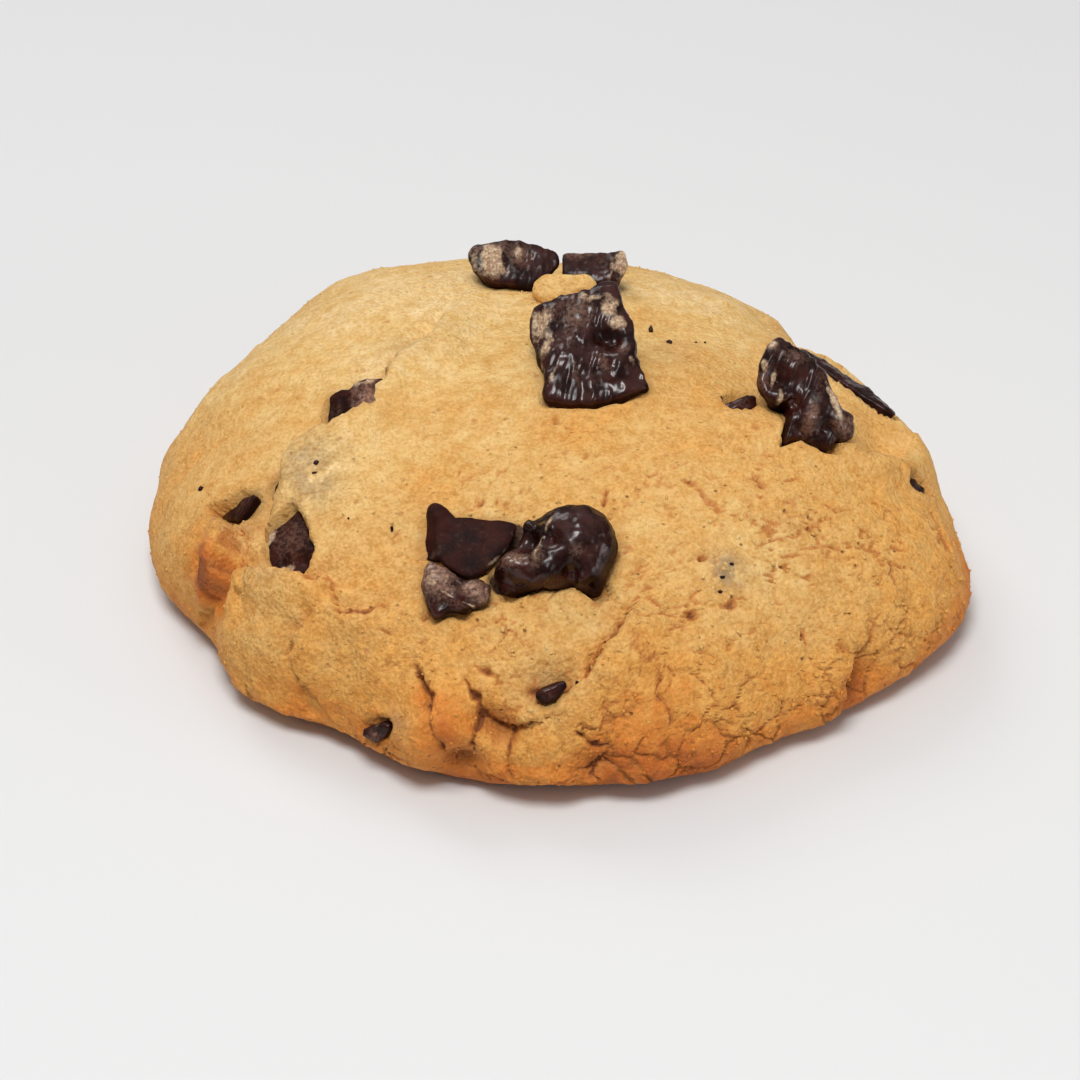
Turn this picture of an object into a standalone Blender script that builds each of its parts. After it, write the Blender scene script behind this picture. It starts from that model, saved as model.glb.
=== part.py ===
"""A thick chocolate chunk cookie, resting on its flat baked base.

The dough is one lumpy dome. Every chocolate chunk is a piece of its own, set in a pocket in the dough.
Axes: the origin is on the base plane under the middle, +Z is up, and -Y is the front.
"""

import itertools
import math

import bmesh
import bpy
import numpy as np
from mathutils import Matrix, Vector

MM = 0.001

# Driving dimensions of the dough.
HALF_WIDTH = 44.8 * MM
FRONT_REACH = 42.2 * MM
BACK_REACH = 46.0 * MM
DOME_HEIGHT = 23.4 * MM
RIM_HEIGHT = 4.5 * MM
BASE_INSET = 5.0 * MM
DOME_SQUARENESS = 2.2

# How the dough is divided: segments round it, and rings from the crown to the middle of the base.
DOUGH_SEGMENTS = 92
DOUGH_RINGS = 37
DOME_SHARE = 0.78
EDGE_SHARE = 0.12

# The pocket round a chunk is this much wider than the chunk on every side.
POCKET_GAP = 0.35 * MM
POCKET_OPENING = 4.0 * MM
CHUNK_SEGMENTS = 26
CHUNK_RINGS = 8
SMALL_CHUNK_SEGMENTS = 14
SMALL_CHUNK_RINGS = 6
SMALL_CHUNK_REACH = 4.2 * MM
CORNER_ROUNDING = math.radians(5)
BACK_TAPER = 0.22

# Where the dough spread further or less: direction in degrees, reach in mm, half width in degrees.
LOBES = (
    (32, -3.2, 13),
    (60, -1.0, 14),
    (123, 2.8, 11),
    (150, -0.6, 12),
    (206, -2.9, 14),
    (178, -1.0, 12),
    (41, -1.9, 8),
    (305, -0.8, 8),
    (236, -2.8, 13),
    (270, 0.2, 10),
    (292, 0.8, 11),
    (330, 0.7, 9),
    (345, 2.6, 11),
    (8, -1.3, 12),
)

# Swellings (+) and hollows (-) of the crust: centre in mm, radius in mm, height in mm.
MOUNDS = (
    ((-19.5, -13.0, 20.3), 8.5, 2.0),
    ((-20.5, -31.5, 12.0), 7.0, 0.9),
    ((-29.5, -25.5, 10.0), 6.0, 1.1),
    ((-30.5, -13.5, 15.5), 3.2, -1.7),
    ((-31.0, -18.2, 13.2), 2.8, -1.3),
    ((-34.2, -19.6, 8.4), 1.7, -1.8),
    ((-36.8, -17.4, 5.6), 2.4, -1.0),
    ((-36.4, -13.4, 10.6), 3.6, 1.4),
    ((-24.5, 16.0, 19.0), 12.0, 1.5),
    ((-9.0, 31.0, 18.0), 9.0, 0.9),
    ((-21.0, 28.0, 16.5), 9.0, 0.7),
    ((31.0, 13.0, 16.5), 7.0, 1.2),
    ((-23.8, -2.0, 20.2), 4.0, -1.1),
    ((-3.0, -25.0, 19.8), 8.0, -1.3),
    ((-3.4, -24.6, 20.3), 1.6, -2.2),
    ((-5.2, -28.2, 18.9), 1.7, -1.6),
    ((4.5, 4.0, 23.3), 9.0, 0.9),
    ((24.0, -14.0, 20.0), 12.0, 0.7),
    ((23.4, -5.6, 20.8), 3.2, 0.9),
    ((36.4, -0.6, 16.0), 3.2, -1.6),
    ((39.6, 3.2, 12.6), 4.6, 1.7),
    ((36.0, -21.0, 10.5), 7.0, 0.9),
    ((32.4, -29.0, 5.6), 2.6, -2.4),
    ((10.0, -40.5, 9.0), 7.5, 0.9),
    ((-1.9, -43.0, 7.2), 3.6, 0.9),
    ((4.8, -43.2, 5.0), 1.9, -2.0),
    ((-4.8, -41.6, 9.6), 1.9, -3.2),
    ((-6.9, -40.8, 10.6), 1.5, -1.9),
    ((-6.8, -42.0, 8.0), 1.2, 1.0),
    ((-9.3, -42.2, 4.6), 2.0, -3.0),
    ((-9.9, -40.3, 9.2), 2.4, 1.5),
    ((-13.7, -40.0, 6.2), 3.1, 2.3),
    ((-13.4, -39.8, 8.6), 1.4, 0.8),
    ((-0.4, -38.8, 13.0), 3.4, -1.2),
)

# Folds, where one layer of dough lies over the next: points, step, lip width and reach in mm.
# The layer that lies on top is on the left of its line, walking from the first point to the last.
FOLDS = (
    (((-10.9, 18.8, 21.7), (-13.7, 10.2, 22.2), (-17.3, 3.8, 22.1), (-21.4, -4.3, 21.1),
      (-25.0, -5.9, 20.0), (-28.4, -8.9, 18.2), (-29.9, -14.0, 16.0), (-30.3, -19.5, 13.4)),
     2.4, 1.4, 7.0),
    (((-36.6, -17.4, 5.8), (-34.4, -18.3, 9.6), (-33.2, -16.7, 12.4), (-33.5, -13.9, 13.7),
      (-35.2, -11.4, 13.5)), 2.3, 0.9, 4.5),
    (((-21.2, -26.4, 15.6), (-23.8, -24.8, 15.4), (-25.6, -23.4, 15.1), (-29.3, -21.0, 13.6),
      (-31.4, -18.8, 13.0), (-33.0, -18.2, 11.4), (-33.4, -20.4, 9.8)), 1.5, 1.0, 6.0),
    (((-13.8, -29.2, 16.9), (-17.9, -29.2, 15.6), (-21.6, -28.3, 14.6), (-24.8, -24.2, 15.1)),
     0.8, 1.2, 5.0),
    (((-23.2, -27.6, 14.2), (-25.4, -28.9, 11.9), (-26.6, -30.1, 9.2), (-24.5, -33.3, 5.9)),
     1.1, 1.1, 6.0),
    (((9.1, -30.2, 17.7), (7.6, -32.6, 16.7), (5.3, -36.2, 14.9), (2.1, -39.1, 13.0),
      (-1.0, -40.4, 11.8)), 1.6, 1.1, 7.0),
    (((30.6, -31.2, 3.0), (31.8, -29.6, 6.0), (32.6, -27.6, 9.0)), 1.8, 1.8, 7.0),
    (((38.6, 1.4, 14.2), (36.4, -3.8, 16.3), (33.8, -5.8, 17.7), (31.0, -4.6, 18.6)), 1.6, 1.3, 5.0),
    (((-7.1, -42.5, 3.4), (-3.0, -43.3, 3.4), (5.2, -42.9, 3.0), (12.2, -40.9, 3.0)), 0.9, 0.8, 3.0),
    (((-33.9, -22.2, 2.3), (-28.3, -30.3, 2.5), (-21.2, -35.7, 2.1), (-15.4, -39.2, 2.2)), 0.8, 0.8, 3.0),
    (((-14.0, -35.0, 13.2), (-12.5, -37.8, 11.3), (-11.6, -40.2, 8.4), (-10.4, -41.4, 6.4)),
     0.9, 0.9, 4.0),
    (((-6.2, -40.7, 10.3), (-3.3, -41.6, 9.9), (-0.3, -41.2, 10.8)), 1.1, 0.8, 3.0),
)

# Below a fold's lip the lower layer dips by this share of the step, over this width in mm.
UNDERCUT = 0.5
UNDERCUT_WIDTH = 1.1

# Broad unevenness of the crust: size of the swells and their height in mm, and the seed of each.
SWELLS = ((9.0, 0.55, 11), (4.2, 0.26, 12))

# Chunks: hewn blocks. Centre: the middle of the outline, in mm. Facing: azimuth and elevation of the front
# face in degrees. Corners: mm sideways and upwards in the face. Depths: mm to the front and to the back.
# Cuts: flat faces, each with its outward direction in the block's own axes and its distance in mm.
CHUNKS = {
    "chunk_front_flat": dict(
        centre=(-8.6, -24.2, 20.2), facing=(-90, 56), depths=(0.8, 3.4), squareness=5.0,
        corners=((-3.7, 5.1), (-4.4, 2.8), (-4.8, 0.0), (-4.6, -1.9), (-3.1, -1.3), (-2.4, -2.3),
                 (-1.1, -3.5), (0.2, -4.0), (1.5, -3.3), (3.2, -1.4), (4.6, 0.3), (5.4, 2.6), (3.7, 3.0),
                 (-1.7, 3.1), (-2.6, 4.5)),
        cuts=(((-0.8, 0.0, 0.6), 3.1),)),
    "chunk_front_glossy": dict(
        centre=(2.1, -25.8, 20.5), facing=(-90, 46), depths=(3.0, 5.0), squareness=2.3,
        corners=((5.0, 0.8), (4.7, 2.3), (3.7, 3.7), (2.1, 4.6), (0.3, 4.7), (-1.7, 4.3), (-3.1, 3.4),
                 (-4.0, 3.7), (-5.0, 2.7), (-5.6, 0.7), (-6.4, -0.6), (-7.6, -1.8), (-8.2, -2.7),
                 (-7.3, -3.9), (-7.2, -5.2), (-6.2, -5.6), (-5.0, -5.7), (-4.1, -4.5), (-3.2, -4.0),
                 (-1.7, -4.3), (0.7, -3.8), (1.5, -4.7), (2.2, -5.4), (2.9, -5.5), (4.0, -4.9),
                 (3.9, -3.2), (4.8, -0.7)),
        cuts=()),
    "chunk_front_pale": dict(
        centre=(-9.5, -29.7, 17.9), facing=(-90, 46), depths=(1.6, 3.6), squareness=2.7,
        corners=((-3.0, 3.3), (-1.7, 2.7), (-0.6, 1.8), (0.7, 1.1), (2.5, 1.2), (3.5, 0.4), (3.5, -0.7),
                 (3.0, -1.3), (1.3, -2.0), (0.9, -2.8), (-0.6, -2.4), (-1.7, -2.8), (-2.4, -3.4),
                 (-2.9, -2.4), (-3.7, 0.6), (-3.8, 2.5)),
        cuts=()),
    "chunk_crown": dict(
        centre=(4.2, 2.4, 26.3), facing=(-90, 62), depths=(1.3, 8.5), squareness=4.2,
        corners=((-5.3, -6.0), (-3.7, -6.7), (-0.8, -6.9), (1.6, -6.9), (3.3, -6.0), (5.3, -5.2),
                 (6.9, -4.7), (6.8, -3.6), (5.6, -2.1), (5.0, -0.5), (5.0, 3.3), (4.7, 4.5), (3.6, 5.8),
                 (3.5, 8.8), (1.4, 9.0), (-0.3, 8.1), (-2.8, 7.3), (-5.7, 6.3), (-6.5, 4.8), (-6.7, 2.7),
                 (-6.0, -0.1), (-5.0, -2.4), (-4.6, -4.6)),
        cuts=(((-0.72, 0.0, 0.69), 4.4), ((0.0, 0.72, 0.69), 6.6))),
    "chunk_right": dict(
        centre=(27.7, -2.2, 23.3), facing=(-80, 50), depths=(1.6, 5.5), squareness=3.0,
        corners=((5.9, -3.3), (5.0, -1.0), (3.4, 0.4), (2.4, 2.6), (0.3, 5.2), (-1.8, 6.2), (-4.1, 6.7),
                 (-5.0, 5.3), (-5.6, 3.1), (-5.6, 1.4), (-5.0, -0.2), (-3.6, -1.2), (-2.4, -0.9),
                 (-1.9, -1.9), (-2.0, -3.4), (-2.9, -6.5), (-0.9, -5.0), (0.3, -4.8), (1.5, -5.7),
                 (3.9, -5.7), (3.9, -3.8), (5.9, -4.1)),
        cuts=()),
    "chunk_right_sliver": dict(
        centre=(20.9, -0.6, 21.5), facing=(-80, 60), depths=(0.5, 1.6), squareness=2.6,
        corners=((1.6, 1.0), (0.6, 1.2), (-0.7, 0.5), (-2.2, -0.4), (-0.8, -1.2), (0.5, -0.9),
                 (1.6, -0.2)),
        cuts=()),
    "chunk_right_edge": dict(
        centre=(33.1, 10.4, 16.9), facing=(29, 59), depths=(0.6, 3.0), squareness=3.0,
        corners=((-5.6, 4.9), (-4.2, 5.2), (-1.2, 3.4), (0.8, 1.6), (3.2, -0.8), (5.2, -2.9), (5.8, -4.6),
                 (4.2, -4.9), (0.9, -2.9), (-1.2, -1.2), (-3.6, 0.8), (-5.0, 2.8)),
        cuts=()),
    "chunk_back_left": dict(
        centre=(-4.2, 24.5, 23.4), facing=(-90, 58), depths=(0.8, 5.5), squareness=3.2,
        corners=((-4.7, 2.8), (-2.3, 3.2), (0.2, 3.5), (3.0, 2.9), (5.5, 2.1), (5.4, 0.3), (3.4, -2.2),
                 (1.9, -2.8), (-1.2, -2.4), (-2.9, -2.0), (-4.3, -0.6), (-5.2, 1.2)),
        cuts=()),
    "chunk_back_right": dict(
        centre=(5.2, 24.0, 23.4), facing=(-90, 58), depths=(0.6, 5.5), squareness=4.0,
        corners=((-3.7, 2.2), (-1.2, 2.3), (1.3, 2.3), (3.7, 2.3), (3.8, 0.4), (3.0, -1.7), (2.0, -2.0),
                 (0.6, -2.0), (-2.3, -1.9), (-3.6, -1.3)),
        cuts=()),
    "chunk_left_back": dict(
        centre=(-20.9, -0.5, 21.1), facing=(-115, 55), depths=(0.9, 3.6), squareness=4.0,
        corners=((4.3, 2.4), (4.0, 3.2), (1.3, 3.1), (-0.4, 2.2), (-2.2, 2.4), (-2.8, 2.3), (-3.6, -0.3),
                 (-3.6, -2.9), (-1.5, -2.6), (-0.6, -3.4), (1.1, -3.8), (2.3, -1.4), (2.8, 1.0)),
        cuts=(((0.42, 0.0, 0.91), 0.75), ((-0.34, 0.0, 0.94), 0.75))),
    "chunk_left": dict(
        centre=(-27.0, -18.0, 15.6), facing=(-140, 50), depths=(0.6, 3.6), squareness=4.5,
        corners=((1.7, 3.5), (-0.4, 2.9), (-2.6, 2.3), (-3.2, -0.3), (-3.1, -2.5), (-0.5, -3.8),
                 (1.3, -4.8), (2.7, -3.4), (2.4, -1.5), (2.1, 1.2)),
        cuts=()),
    "chunk_left_top": dict(
        centre=(-28.6, -10.4, 16.9), facing=(-140, 50), depths=(0.5, 1.8), squareness=3.0,
        corners=((1.0, 1.4), (0.4, 1.6), (-0.6, 1.0), (-0.9, -0.2), (0.1, -1.3), (1.1, -0.4)),
        cuts=()),
    "chunk_left_slit": dict(
        centre=(-33.4, -10.4, 14.6), facing=(-165, 40), depths=(0.4, 2.4), squareness=3.0,
        corners=((3.3, -0.9), (2.4, 0.2), (0.5, 1.1), (-0.9, 0.8), (-2.6, 1.4), (-3.6, 1.8), (-2.2, 0.1),
                 (-0.6, -1.8), (1.1, -1.6)),
        cuts=()),
    "chunk_rim": dict(
        centre=(-17.8, -37.7, 5.6), facing=(-110, 12), depths=(0.5, 2.2), squareness=3.4,
        corners=((2.2, -0.6), (1.5, 0.3), (-0.5, 1.5), (-1.2, 1.2), (-0.9, -0.6), (0.1, -0.9),
                 (1.3, -0.9)),
        cuts=()),
    "chunk_sunken": dict(
        centre=(-0.1, -39.5, 12.1), facing=(-90, 25), depths=(0.4, 2.2), squareness=3.0,
        corners=((2.2, 0.9), (1.8, 1.6), (0.4, 0.9), (-0.8, 0.5), (-1.5, -0.1), (-0.9, -0.9),
                 (-0.2, -1.0), (0.9, -0.4)),
        cuts=()),
    "chunk_far_right": dict(
        centre=(39.8, -5.2, 13.8), facing=(-20, 40), depths=(0.4, 1.8), squareness=3.0,
        corners=((1.5, 0.7), (0.2, 0.6), (-0.5, 0.9), (-1.1, 0.4), (-1.0, -0.9), (-0.3, -0.9),
                 (1.2, -0.2)),
        cuts=()),
}

# Knobs of dough that stand up between the chunks, in the same terms.
KNOBS = {
    "dough_knob": dict(
        centre=(1.7, 20.2, 23.0), facing=(-90, 50), depths=(1.5, 2.4), squareness=2.6,
        corners=((-3.7, -0.7), (-3.6, 0.7), (-2.5, 1.7), (-0.1, 1.9), (3.0, 1.7), (3.8, 0.8), (3.4, -0.3),
                 (0.9, -0.9), (-1.1, -1.6), (-2.9, -1.6)),
        cuts=()),
}

SHARP_ANGLE = math.radians(40)

# Base colour, roughness and metallic value.
BAKED_DOUGH = ((0.70, 0.40, 0.16, 1.0), 0.75, 0.0)
DARK_CHOCOLATE = ((0.045, 0.018, 0.013, 1.0), 0.35, 0.0)


def clear_scene():
    for old in list(bpy.data.objects):
        bpy.data.objects.remove(old, do_unlink=True)


def collection(name):
    made = bpy.data.collections.new(name)
    bpy.context.scene.collection.children.link(made)
    return made


def material(name, look):
    colour, roughness, metallic = look
    made = bpy.data.materials.new(name)
    made.use_nodes = True
    shader = made.node_tree.nodes["Principled BSDF"]
    shader.inputs["Base Color"].default_value = colour
    shader.inputs["Roughness"].default_value = roughness
    shader.inputs["Metallic"].default_value = metallic
    return made


def smooth_step(low, high, value):
    """0 below low, 1 above high, and an S-curve between."""
    share = np.clip((value - low) / (high - low), 0.0, 1.0)
    return share * share * (3.0 - 2.0 * share)


def lattice_noise(points, cell, seed):
    """Smooth noise from -1 to 1: random values on a cubic lattice, blended between the lattice points."""
    side = 24
    values = np.random.default_rng(seed).uniform(-1.0, 1.0, (side, side, side))
    scaled = points / cell
    low = np.floor(scaled).astype(int)
    part = scaled - low
    blend = part * part * (3.0 - 2.0 * part)
    total = np.zeros(len(points))
    for corner in itertools.product((0, 1), repeat=3):
        weight = np.prod(np.where(corner, blend, 1.0 - blend), axis=1)
        at = (low + corner) % side
        total += weight * values[at[:, 0], at[:, 1], at[:, 2]]
    return total


def outline(angle):
    """Reach of the rim in each direction: an ellipse with a shorter front, plus the lobes and flats."""
    depth = np.where(np.sin(angle) > 0.0, BACK_REACH, FRONT_REACH)
    reach = 1.0 / np.sqrt((np.cos(angle) / HALF_WIDTH) ** 2 + (np.sin(angle) / depth) ** 2)
    degrees = np.degrees(angle)
    for direction, height, half_width in LOBES:
        off = (degrees - direction + 180.0) % 360.0 - 180.0
        reach = reach + height * MM * np.exp(-((off / half_width) ** 2))
    return reach


def plain_dough(angle, station):
    """Station 0 to 1 runs down the dome, 1 to 2 round the lower edge, and 2 to 3 in over the base."""
    down = np.clip(station, 0.0, 1.0) * math.pi / 2
    under = np.clip(station - 1.0, 0.0, 1.0) * math.pi / 2
    inwards = np.clip(station - 2.0, 0.0, 1.0)
    rim = outline(angle)
    dome_radius = rim * np.sin(down) ** (2.0 / DOME_SQUARENESS)
    radius = np.where(station > 1.0, rim - BASE_INSET * (1.0 - np.cos(under)), dome_radius)
    radius = radius * (1.0 - inwards)
    height = RIM_HEIGHT + (DOME_HEIGHT - RIM_HEIGHT) * np.cos(down)
    height = np.where(station > 1.0, RIM_HEIGHT * (1.0 - np.sin(under)), height)
    return np.stack([radius * np.cos(angle), radius * np.sin(angle), height], axis=1)


def outward(points):
    """Direction in which the crust swells: that of an ellipsoid through the rim and the crown."""
    direction = points - (0.0, 0.0, RIM_HEIGHT)
    direction = direction / (HALF_WIDTH**2, HALF_WIDTH**2, (DOME_HEIGHT - RIM_HEIGHT) ** 2)
    return direction / np.linalg.norm(direction, axis=1, keepdims=True)


def smooth_line(corners, steps=8):
    """A Catmull-Rom curve through the corners, as points in metres."""
    knots = np.array(corners) * MM
    knots = np.vstack([2 * knots[0] - knots[1], knots, 2 * knots[-1] - knots[-2]])
    share = np.linspace(0.0, 1.0, steps, endpoint=False)[:, None]
    runs = []
    for before, start, end, after in zip(knots, knots[1:], knots[2:], knots[3:]):
        bend = 2 * start + (end - before) * share
        bend = bend + (2 * before - 5 * start + 4 * end - after) * share**2
        bend = bend + (3 * start - before - 3 * end + after) * share**3
        runs.append(bend / 2)
    return np.vstack([*runs, knots[-2:-1]])


def nearest_on_line(points, normals, line):
    """Signed distance to a line on the crust, positive on its left, and the share of the way along it."""
    starts, spans = line[:-1], np.diff(line, axis=0)
    offset = points[:, None] - starts[None]
    along = np.clip((offset * spans).sum(-1) / (spans**2).sum(-1), 0.0, 1.0)
    apart = offset - along[..., None] * spans
    distance = np.linalg.norm(apart, axis=-1)
    best = distance.argmin(axis=1)
    rows = np.arange(len(points))
    left = np.cross(normals, spans[best])
    side = (left * apart[rows, best]).sum(-1)
    share = (best + along[rows, best]) / len(spans)
    return distance[rows, best] * np.where(side < 0.0, -1.0, 1.0), share


def fold_lift(points, normals, fold):
    """A quarter-round lip that rises on the left of the line, then sinks back into the crust."""
    corners, step, lip, reach = fold
    distance, share = nearest_on_line(points, normals, smooth_line(corners))
    across = distance / MM
    rise = np.sqrt(1.0 - (1.0 - np.clip(across / lip, 0.0, 1.0)) ** 2)
    sink = 1.0 - smooth_step(lip, reach, across)
    under = -UNDERCUT * np.exp(-((across / UNDERCUT_WIDTH) ** 2)) * (across < 0.0)
    ends = np.sqrt(np.clip(np.sin(math.pi * np.clip(share, 0.03, 0.97)), 0.0, 1.0))
    return step * MM * ends * (rise * sink + under)


def relief(points, normals):
    """How far the crust stands out of the plain dome: mounds, hollows, folds and broad swells."""
    lift = np.zeros(len(points))
    for centre, radius, height in MOUNDS:
        apart = np.linalg.norm(points - np.array(centre) * MM, axis=1)
        lift += height * MM * np.exp(-((apart / (radius * MM)) ** 2))
    for fold in FOLDS:
        lift += fold_lift(points, normals, fold)
    for cell, height, seed in SWELLS:
        lift += height * MM * lattice_noise(points, cell * MM, seed)
    return lift * smooth_step(0.4 * MM, 3.6 * MM, points[:, 2])


def mesh_points(mesh):
    flat = np.empty(len(mesh.vertices) * 3, np.float32)
    mesh.vertices.foreach_get("co", flat)
    return flat.reshape(-1, 3).astype(float)


def set_mesh_points(mesh, points):
    mesh.vertices.foreach_set("co", points.astype(np.float32).ravel())
    mesh.update()


def unit_sphere(name, segments, rings, look, group):
    """A sphere of radius 1 m, whose points the callers move to their places."""
    mesh = bpy.data.meshes.new(name)
    sphere = bmesh.new()
    bmesh.ops.create_uvsphere(sphere, u_segments=segments, v_segments=rings, radius=1.0)
    sphere.to_mesh(mesh)
    sphere.free()
    piece = bpy.data.objects.new(name, mesh)
    mesh.materials.append(look)
    group.objects.link(piece)
    return piece


def dough_station(polar):
    """Shares the sphere's rings out: most to the dome, some to the lower edge, the rest to the base."""
    share = polar / math.pi
    edge_end = DOME_SHARE + EDGE_SHARE
    return np.interp(share, (0.0, DOME_SHARE, edge_end, 1.0), (0.0, 1.0, 2.0, 3.0))


def make_dough(look, group):
    dough = unit_sphere("dough", DOUGH_SEGMENTS, DOUGH_RINGS, look, group)
    sphere = mesh_points(dough.data)
    angle = np.arctan2(sphere[:, 1], sphere[:, 0])
    polar = np.arctan2(np.hypot(sphere[:, 0], sphere[:, 1]), sphere[:, 2])
    points = plain_dough(angle, dough_station(polar))
    normals = outward(points)
    set_mesh_points(dough.data, points + normals * relief(points, normals)[:, None])
    dough.data.shade_smooth()
    return dough


def facing_axes(azimuth, elevation):
    """Rows: sideways to the right, upwards along the face, and outwards from it."""
    turn, tilt = math.radians(azimuth), math.radians(elevation)
    out = np.array([math.cos(turn) * math.cos(tilt), math.sin(turn) * math.cos(tilt), math.sin(tilt)])
    side = np.array([out[2], 0.0, -out[0]]) / math.hypot(out[0], out[2])
    return np.stack([side, np.cross(out, side), out])


def corner_reach(corners, angle):
    """Distance from the middle to the straight-sided outline through the corners, in each direction."""
    corners = np.array(sorted(corners, key=lambda c: math.atan2(c[1], c[0]))) * MM
    turns = np.arctan2(corners[:, 1], corners[:, 0])
    angle = (angle + math.pi) % (2 * math.pi) - math.pi
    number = (np.searchsorted(turns, angle) - 1) % len(corners)
    start = corners[number]
    edge = corners[(number + 1) % len(corners)] - start
    across = np.cos(angle) * edge[:, 1] - np.sin(angle) * edge[:, 0]
    return (start[:, 0] * edge[:, 1] - start[:, 1] * edge[:, 0]) / across


def rounded_reach(corners, angle):
    """The mean of the reach a little before, at and a little after each direction."""
    return sum(corner_reach(corners, angle + off * CORNER_ROUNDING) for off in (-1, -0.5, 0, 0.5, 1)) / 5


def block_points(shape, sphere, grow, opening):
    """Outline times a superellipse over the edge, tapered to the back, then pressed flat at each cut."""
    turn = np.arctan2(sphere[:, 1], sphere[:, 0])
    tilt = np.arctan2(np.hypot(sphere[:, 0], sphere[:, 1]), sphere[:, 2])
    power = shape["squareness"]
    norm = (np.sin(tilt) ** power + np.abs(np.cos(tilt)) ** power) ** (1.0 / power)
    depth = np.cos(tilt) / norm
    share = np.sin(tilt) / norm * (1.0 - BACK_TAPER * np.clip(-depth, 0.0, 1.0))
    reach = (rounded_reach(shape["corners"], turn) + grow) * share
    front, back = shape["depths"]
    height = depth * np.where(depth > 0.0, front * MM + grow + opening, back * MM + grow)
    points = np.stack([reach * np.cos(turn), reach * np.sin(turn), height], axis=1)
    for direction, distance in shape["cuts"]:
        facing = np.array(direction) / np.linalg.norm(direction)
        over = np.clip(points @ facing - distance * MM - grow - opening, 0.0, None)
        points = points - over[:, None] * facing
    return points


def make_block(name, shape, look, group, grow=0.0, opening=0.0):
    """One block, turned to its facing and moved to its centre."""
    small = max(math.hypot(*corner) for corner in shape["corners"]) * MM < SMALL_CHUNK_REACH
    segments, rings = (SMALL_CHUNK_SEGMENTS, SMALL_CHUNK_RINGS) if small else (CHUNK_SEGMENTS, CHUNK_RINGS)
    piece = unit_sphere(name, segments, rings, look, group)
    points = block_points(shape, mesh_points(piece.data), grow, opening)
    set_mesh_points(piece.data, points)
    piece.rotation_euler = Matrix(facing_axes(*shape["facing"]).T.tolist()).to_euler()
    piece.location = Vector(shape["centre"]) * MM
    piece.data.shade_smooth()
    piece.data.set_sharp_from_angle(angle=SHARP_ANGLE)
    return piece


def make_pocket(name, shape, look, group):
    """A wider block that is open to the front, which cuts the chunk's pocket."""
    pocket = make_block(name + "_pocket", shape, look, group, POCKET_GAP, POCKET_OPENING)
    pocket.hide_render = True
    pocket.display_type = "WIRE"
    return pocket


def cut_pocket(dough, pocket):
    cut = dough.modifiers.new(pocket.name, "BOOLEAN")
    cut.operation = "DIFFERENCE"
    cut.object = pocket


def main():
    clear_scene()
    cookie = collection("cookie")
    pockets = collection("pockets")
    baked = material("baked_dough", BAKED_DOUGH)
    chocolate = material("dark_chocolate", DARK_CHOCOLATE)
    dough = make_dough(baked, cookie)
    for shapes, look in ((CHUNKS, chocolate), (KNOBS, baked)):
        for name, shape in shapes.items():
            make_block(name, shape, look, cookie)
            cut_pocket(dough, make_pocket(name, shape, look, pockets))


main()
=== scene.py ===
# %% [markdown]
# # A chocolate chunk cookie
# The cookie is one lumpy dome of baked dough with dark chocolate chunks set in it.
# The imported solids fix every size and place. Each step below makes a finer skin for one of them.

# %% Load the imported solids
import itertools
import math

import bpy
import numpy as np
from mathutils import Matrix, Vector


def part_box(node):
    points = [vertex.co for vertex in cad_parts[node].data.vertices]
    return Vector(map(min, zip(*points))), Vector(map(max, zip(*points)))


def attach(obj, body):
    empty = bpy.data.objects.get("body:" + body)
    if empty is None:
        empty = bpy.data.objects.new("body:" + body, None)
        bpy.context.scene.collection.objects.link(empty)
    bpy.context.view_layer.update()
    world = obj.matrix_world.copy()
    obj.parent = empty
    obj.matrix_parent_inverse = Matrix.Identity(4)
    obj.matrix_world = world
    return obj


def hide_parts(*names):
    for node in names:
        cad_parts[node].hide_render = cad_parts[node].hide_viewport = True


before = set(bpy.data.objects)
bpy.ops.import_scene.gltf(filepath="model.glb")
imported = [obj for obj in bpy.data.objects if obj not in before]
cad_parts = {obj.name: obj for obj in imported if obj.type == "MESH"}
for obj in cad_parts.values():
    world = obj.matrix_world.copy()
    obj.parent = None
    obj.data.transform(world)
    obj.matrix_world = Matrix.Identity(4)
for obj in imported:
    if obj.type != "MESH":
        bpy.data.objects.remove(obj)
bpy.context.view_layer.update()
MM = 0.001
print("packed solids:", len(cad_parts))

# %% [markdown]
# ## The camera
# A close-up lens looks down on the cookie from the front. It is long, so the far rim shrinks only a
# little. The camera is placed by its aim, its distance and its height angle, which read like the
# photographer's own choices.

# %% Camera
AIM = Vector((-1.0, -2.9, 5.0)) * MM
CAMERA_DISTANCE = 420 * MM
CAMERA_ELEVATION = math.radians(36)
CAMERA_LENS = 126.7


def new_object(name, data):
    """An object of the scene that shows the given mesh, light or camera."""
    made = bpy.data.objects.new(name, data)
    bpy.context.scene.collection.objects.link(made)
    return made


camera_data = bpy.data.cameras.new("close_up")
camera_data.lens = CAMERA_LENS
camera_data.sensor_width = 36
camera_data.clip_start = 0.01
camera = new_object("close_up", camera_data)
backwards = Vector((0, -math.cos(CAMERA_ELEVATION), math.sin(CAMERA_ELEVATION)))
camera.location = AIM + backwards * CAMERA_DISTANCE
camera.rotation_euler = backwards.to_track_quat("Z", "Y").to_euler()
bpy.context.scene.camera = camera
print("camera at", [round(c, 3) for c in camera.location])

# %% [markdown]
# ## Smooth noise and lines on the crust
# Dough has no straight edges, so every shape is shaken by smooth noise. Folds and cracks follow lines
# on the crust. Both are plain array sums, so that a hundred thousand points take a moment.


# %% Noise and step helpers
def smooth_step(low, high, value):
    """0 below low, 1 above high, and between them 3t² - 2t³ of the share t."""
    share = np.clip((value - low) / (high - low), 0.0, 1.0)
    return share * share * (3.0 - 2.0 * share)


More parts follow.
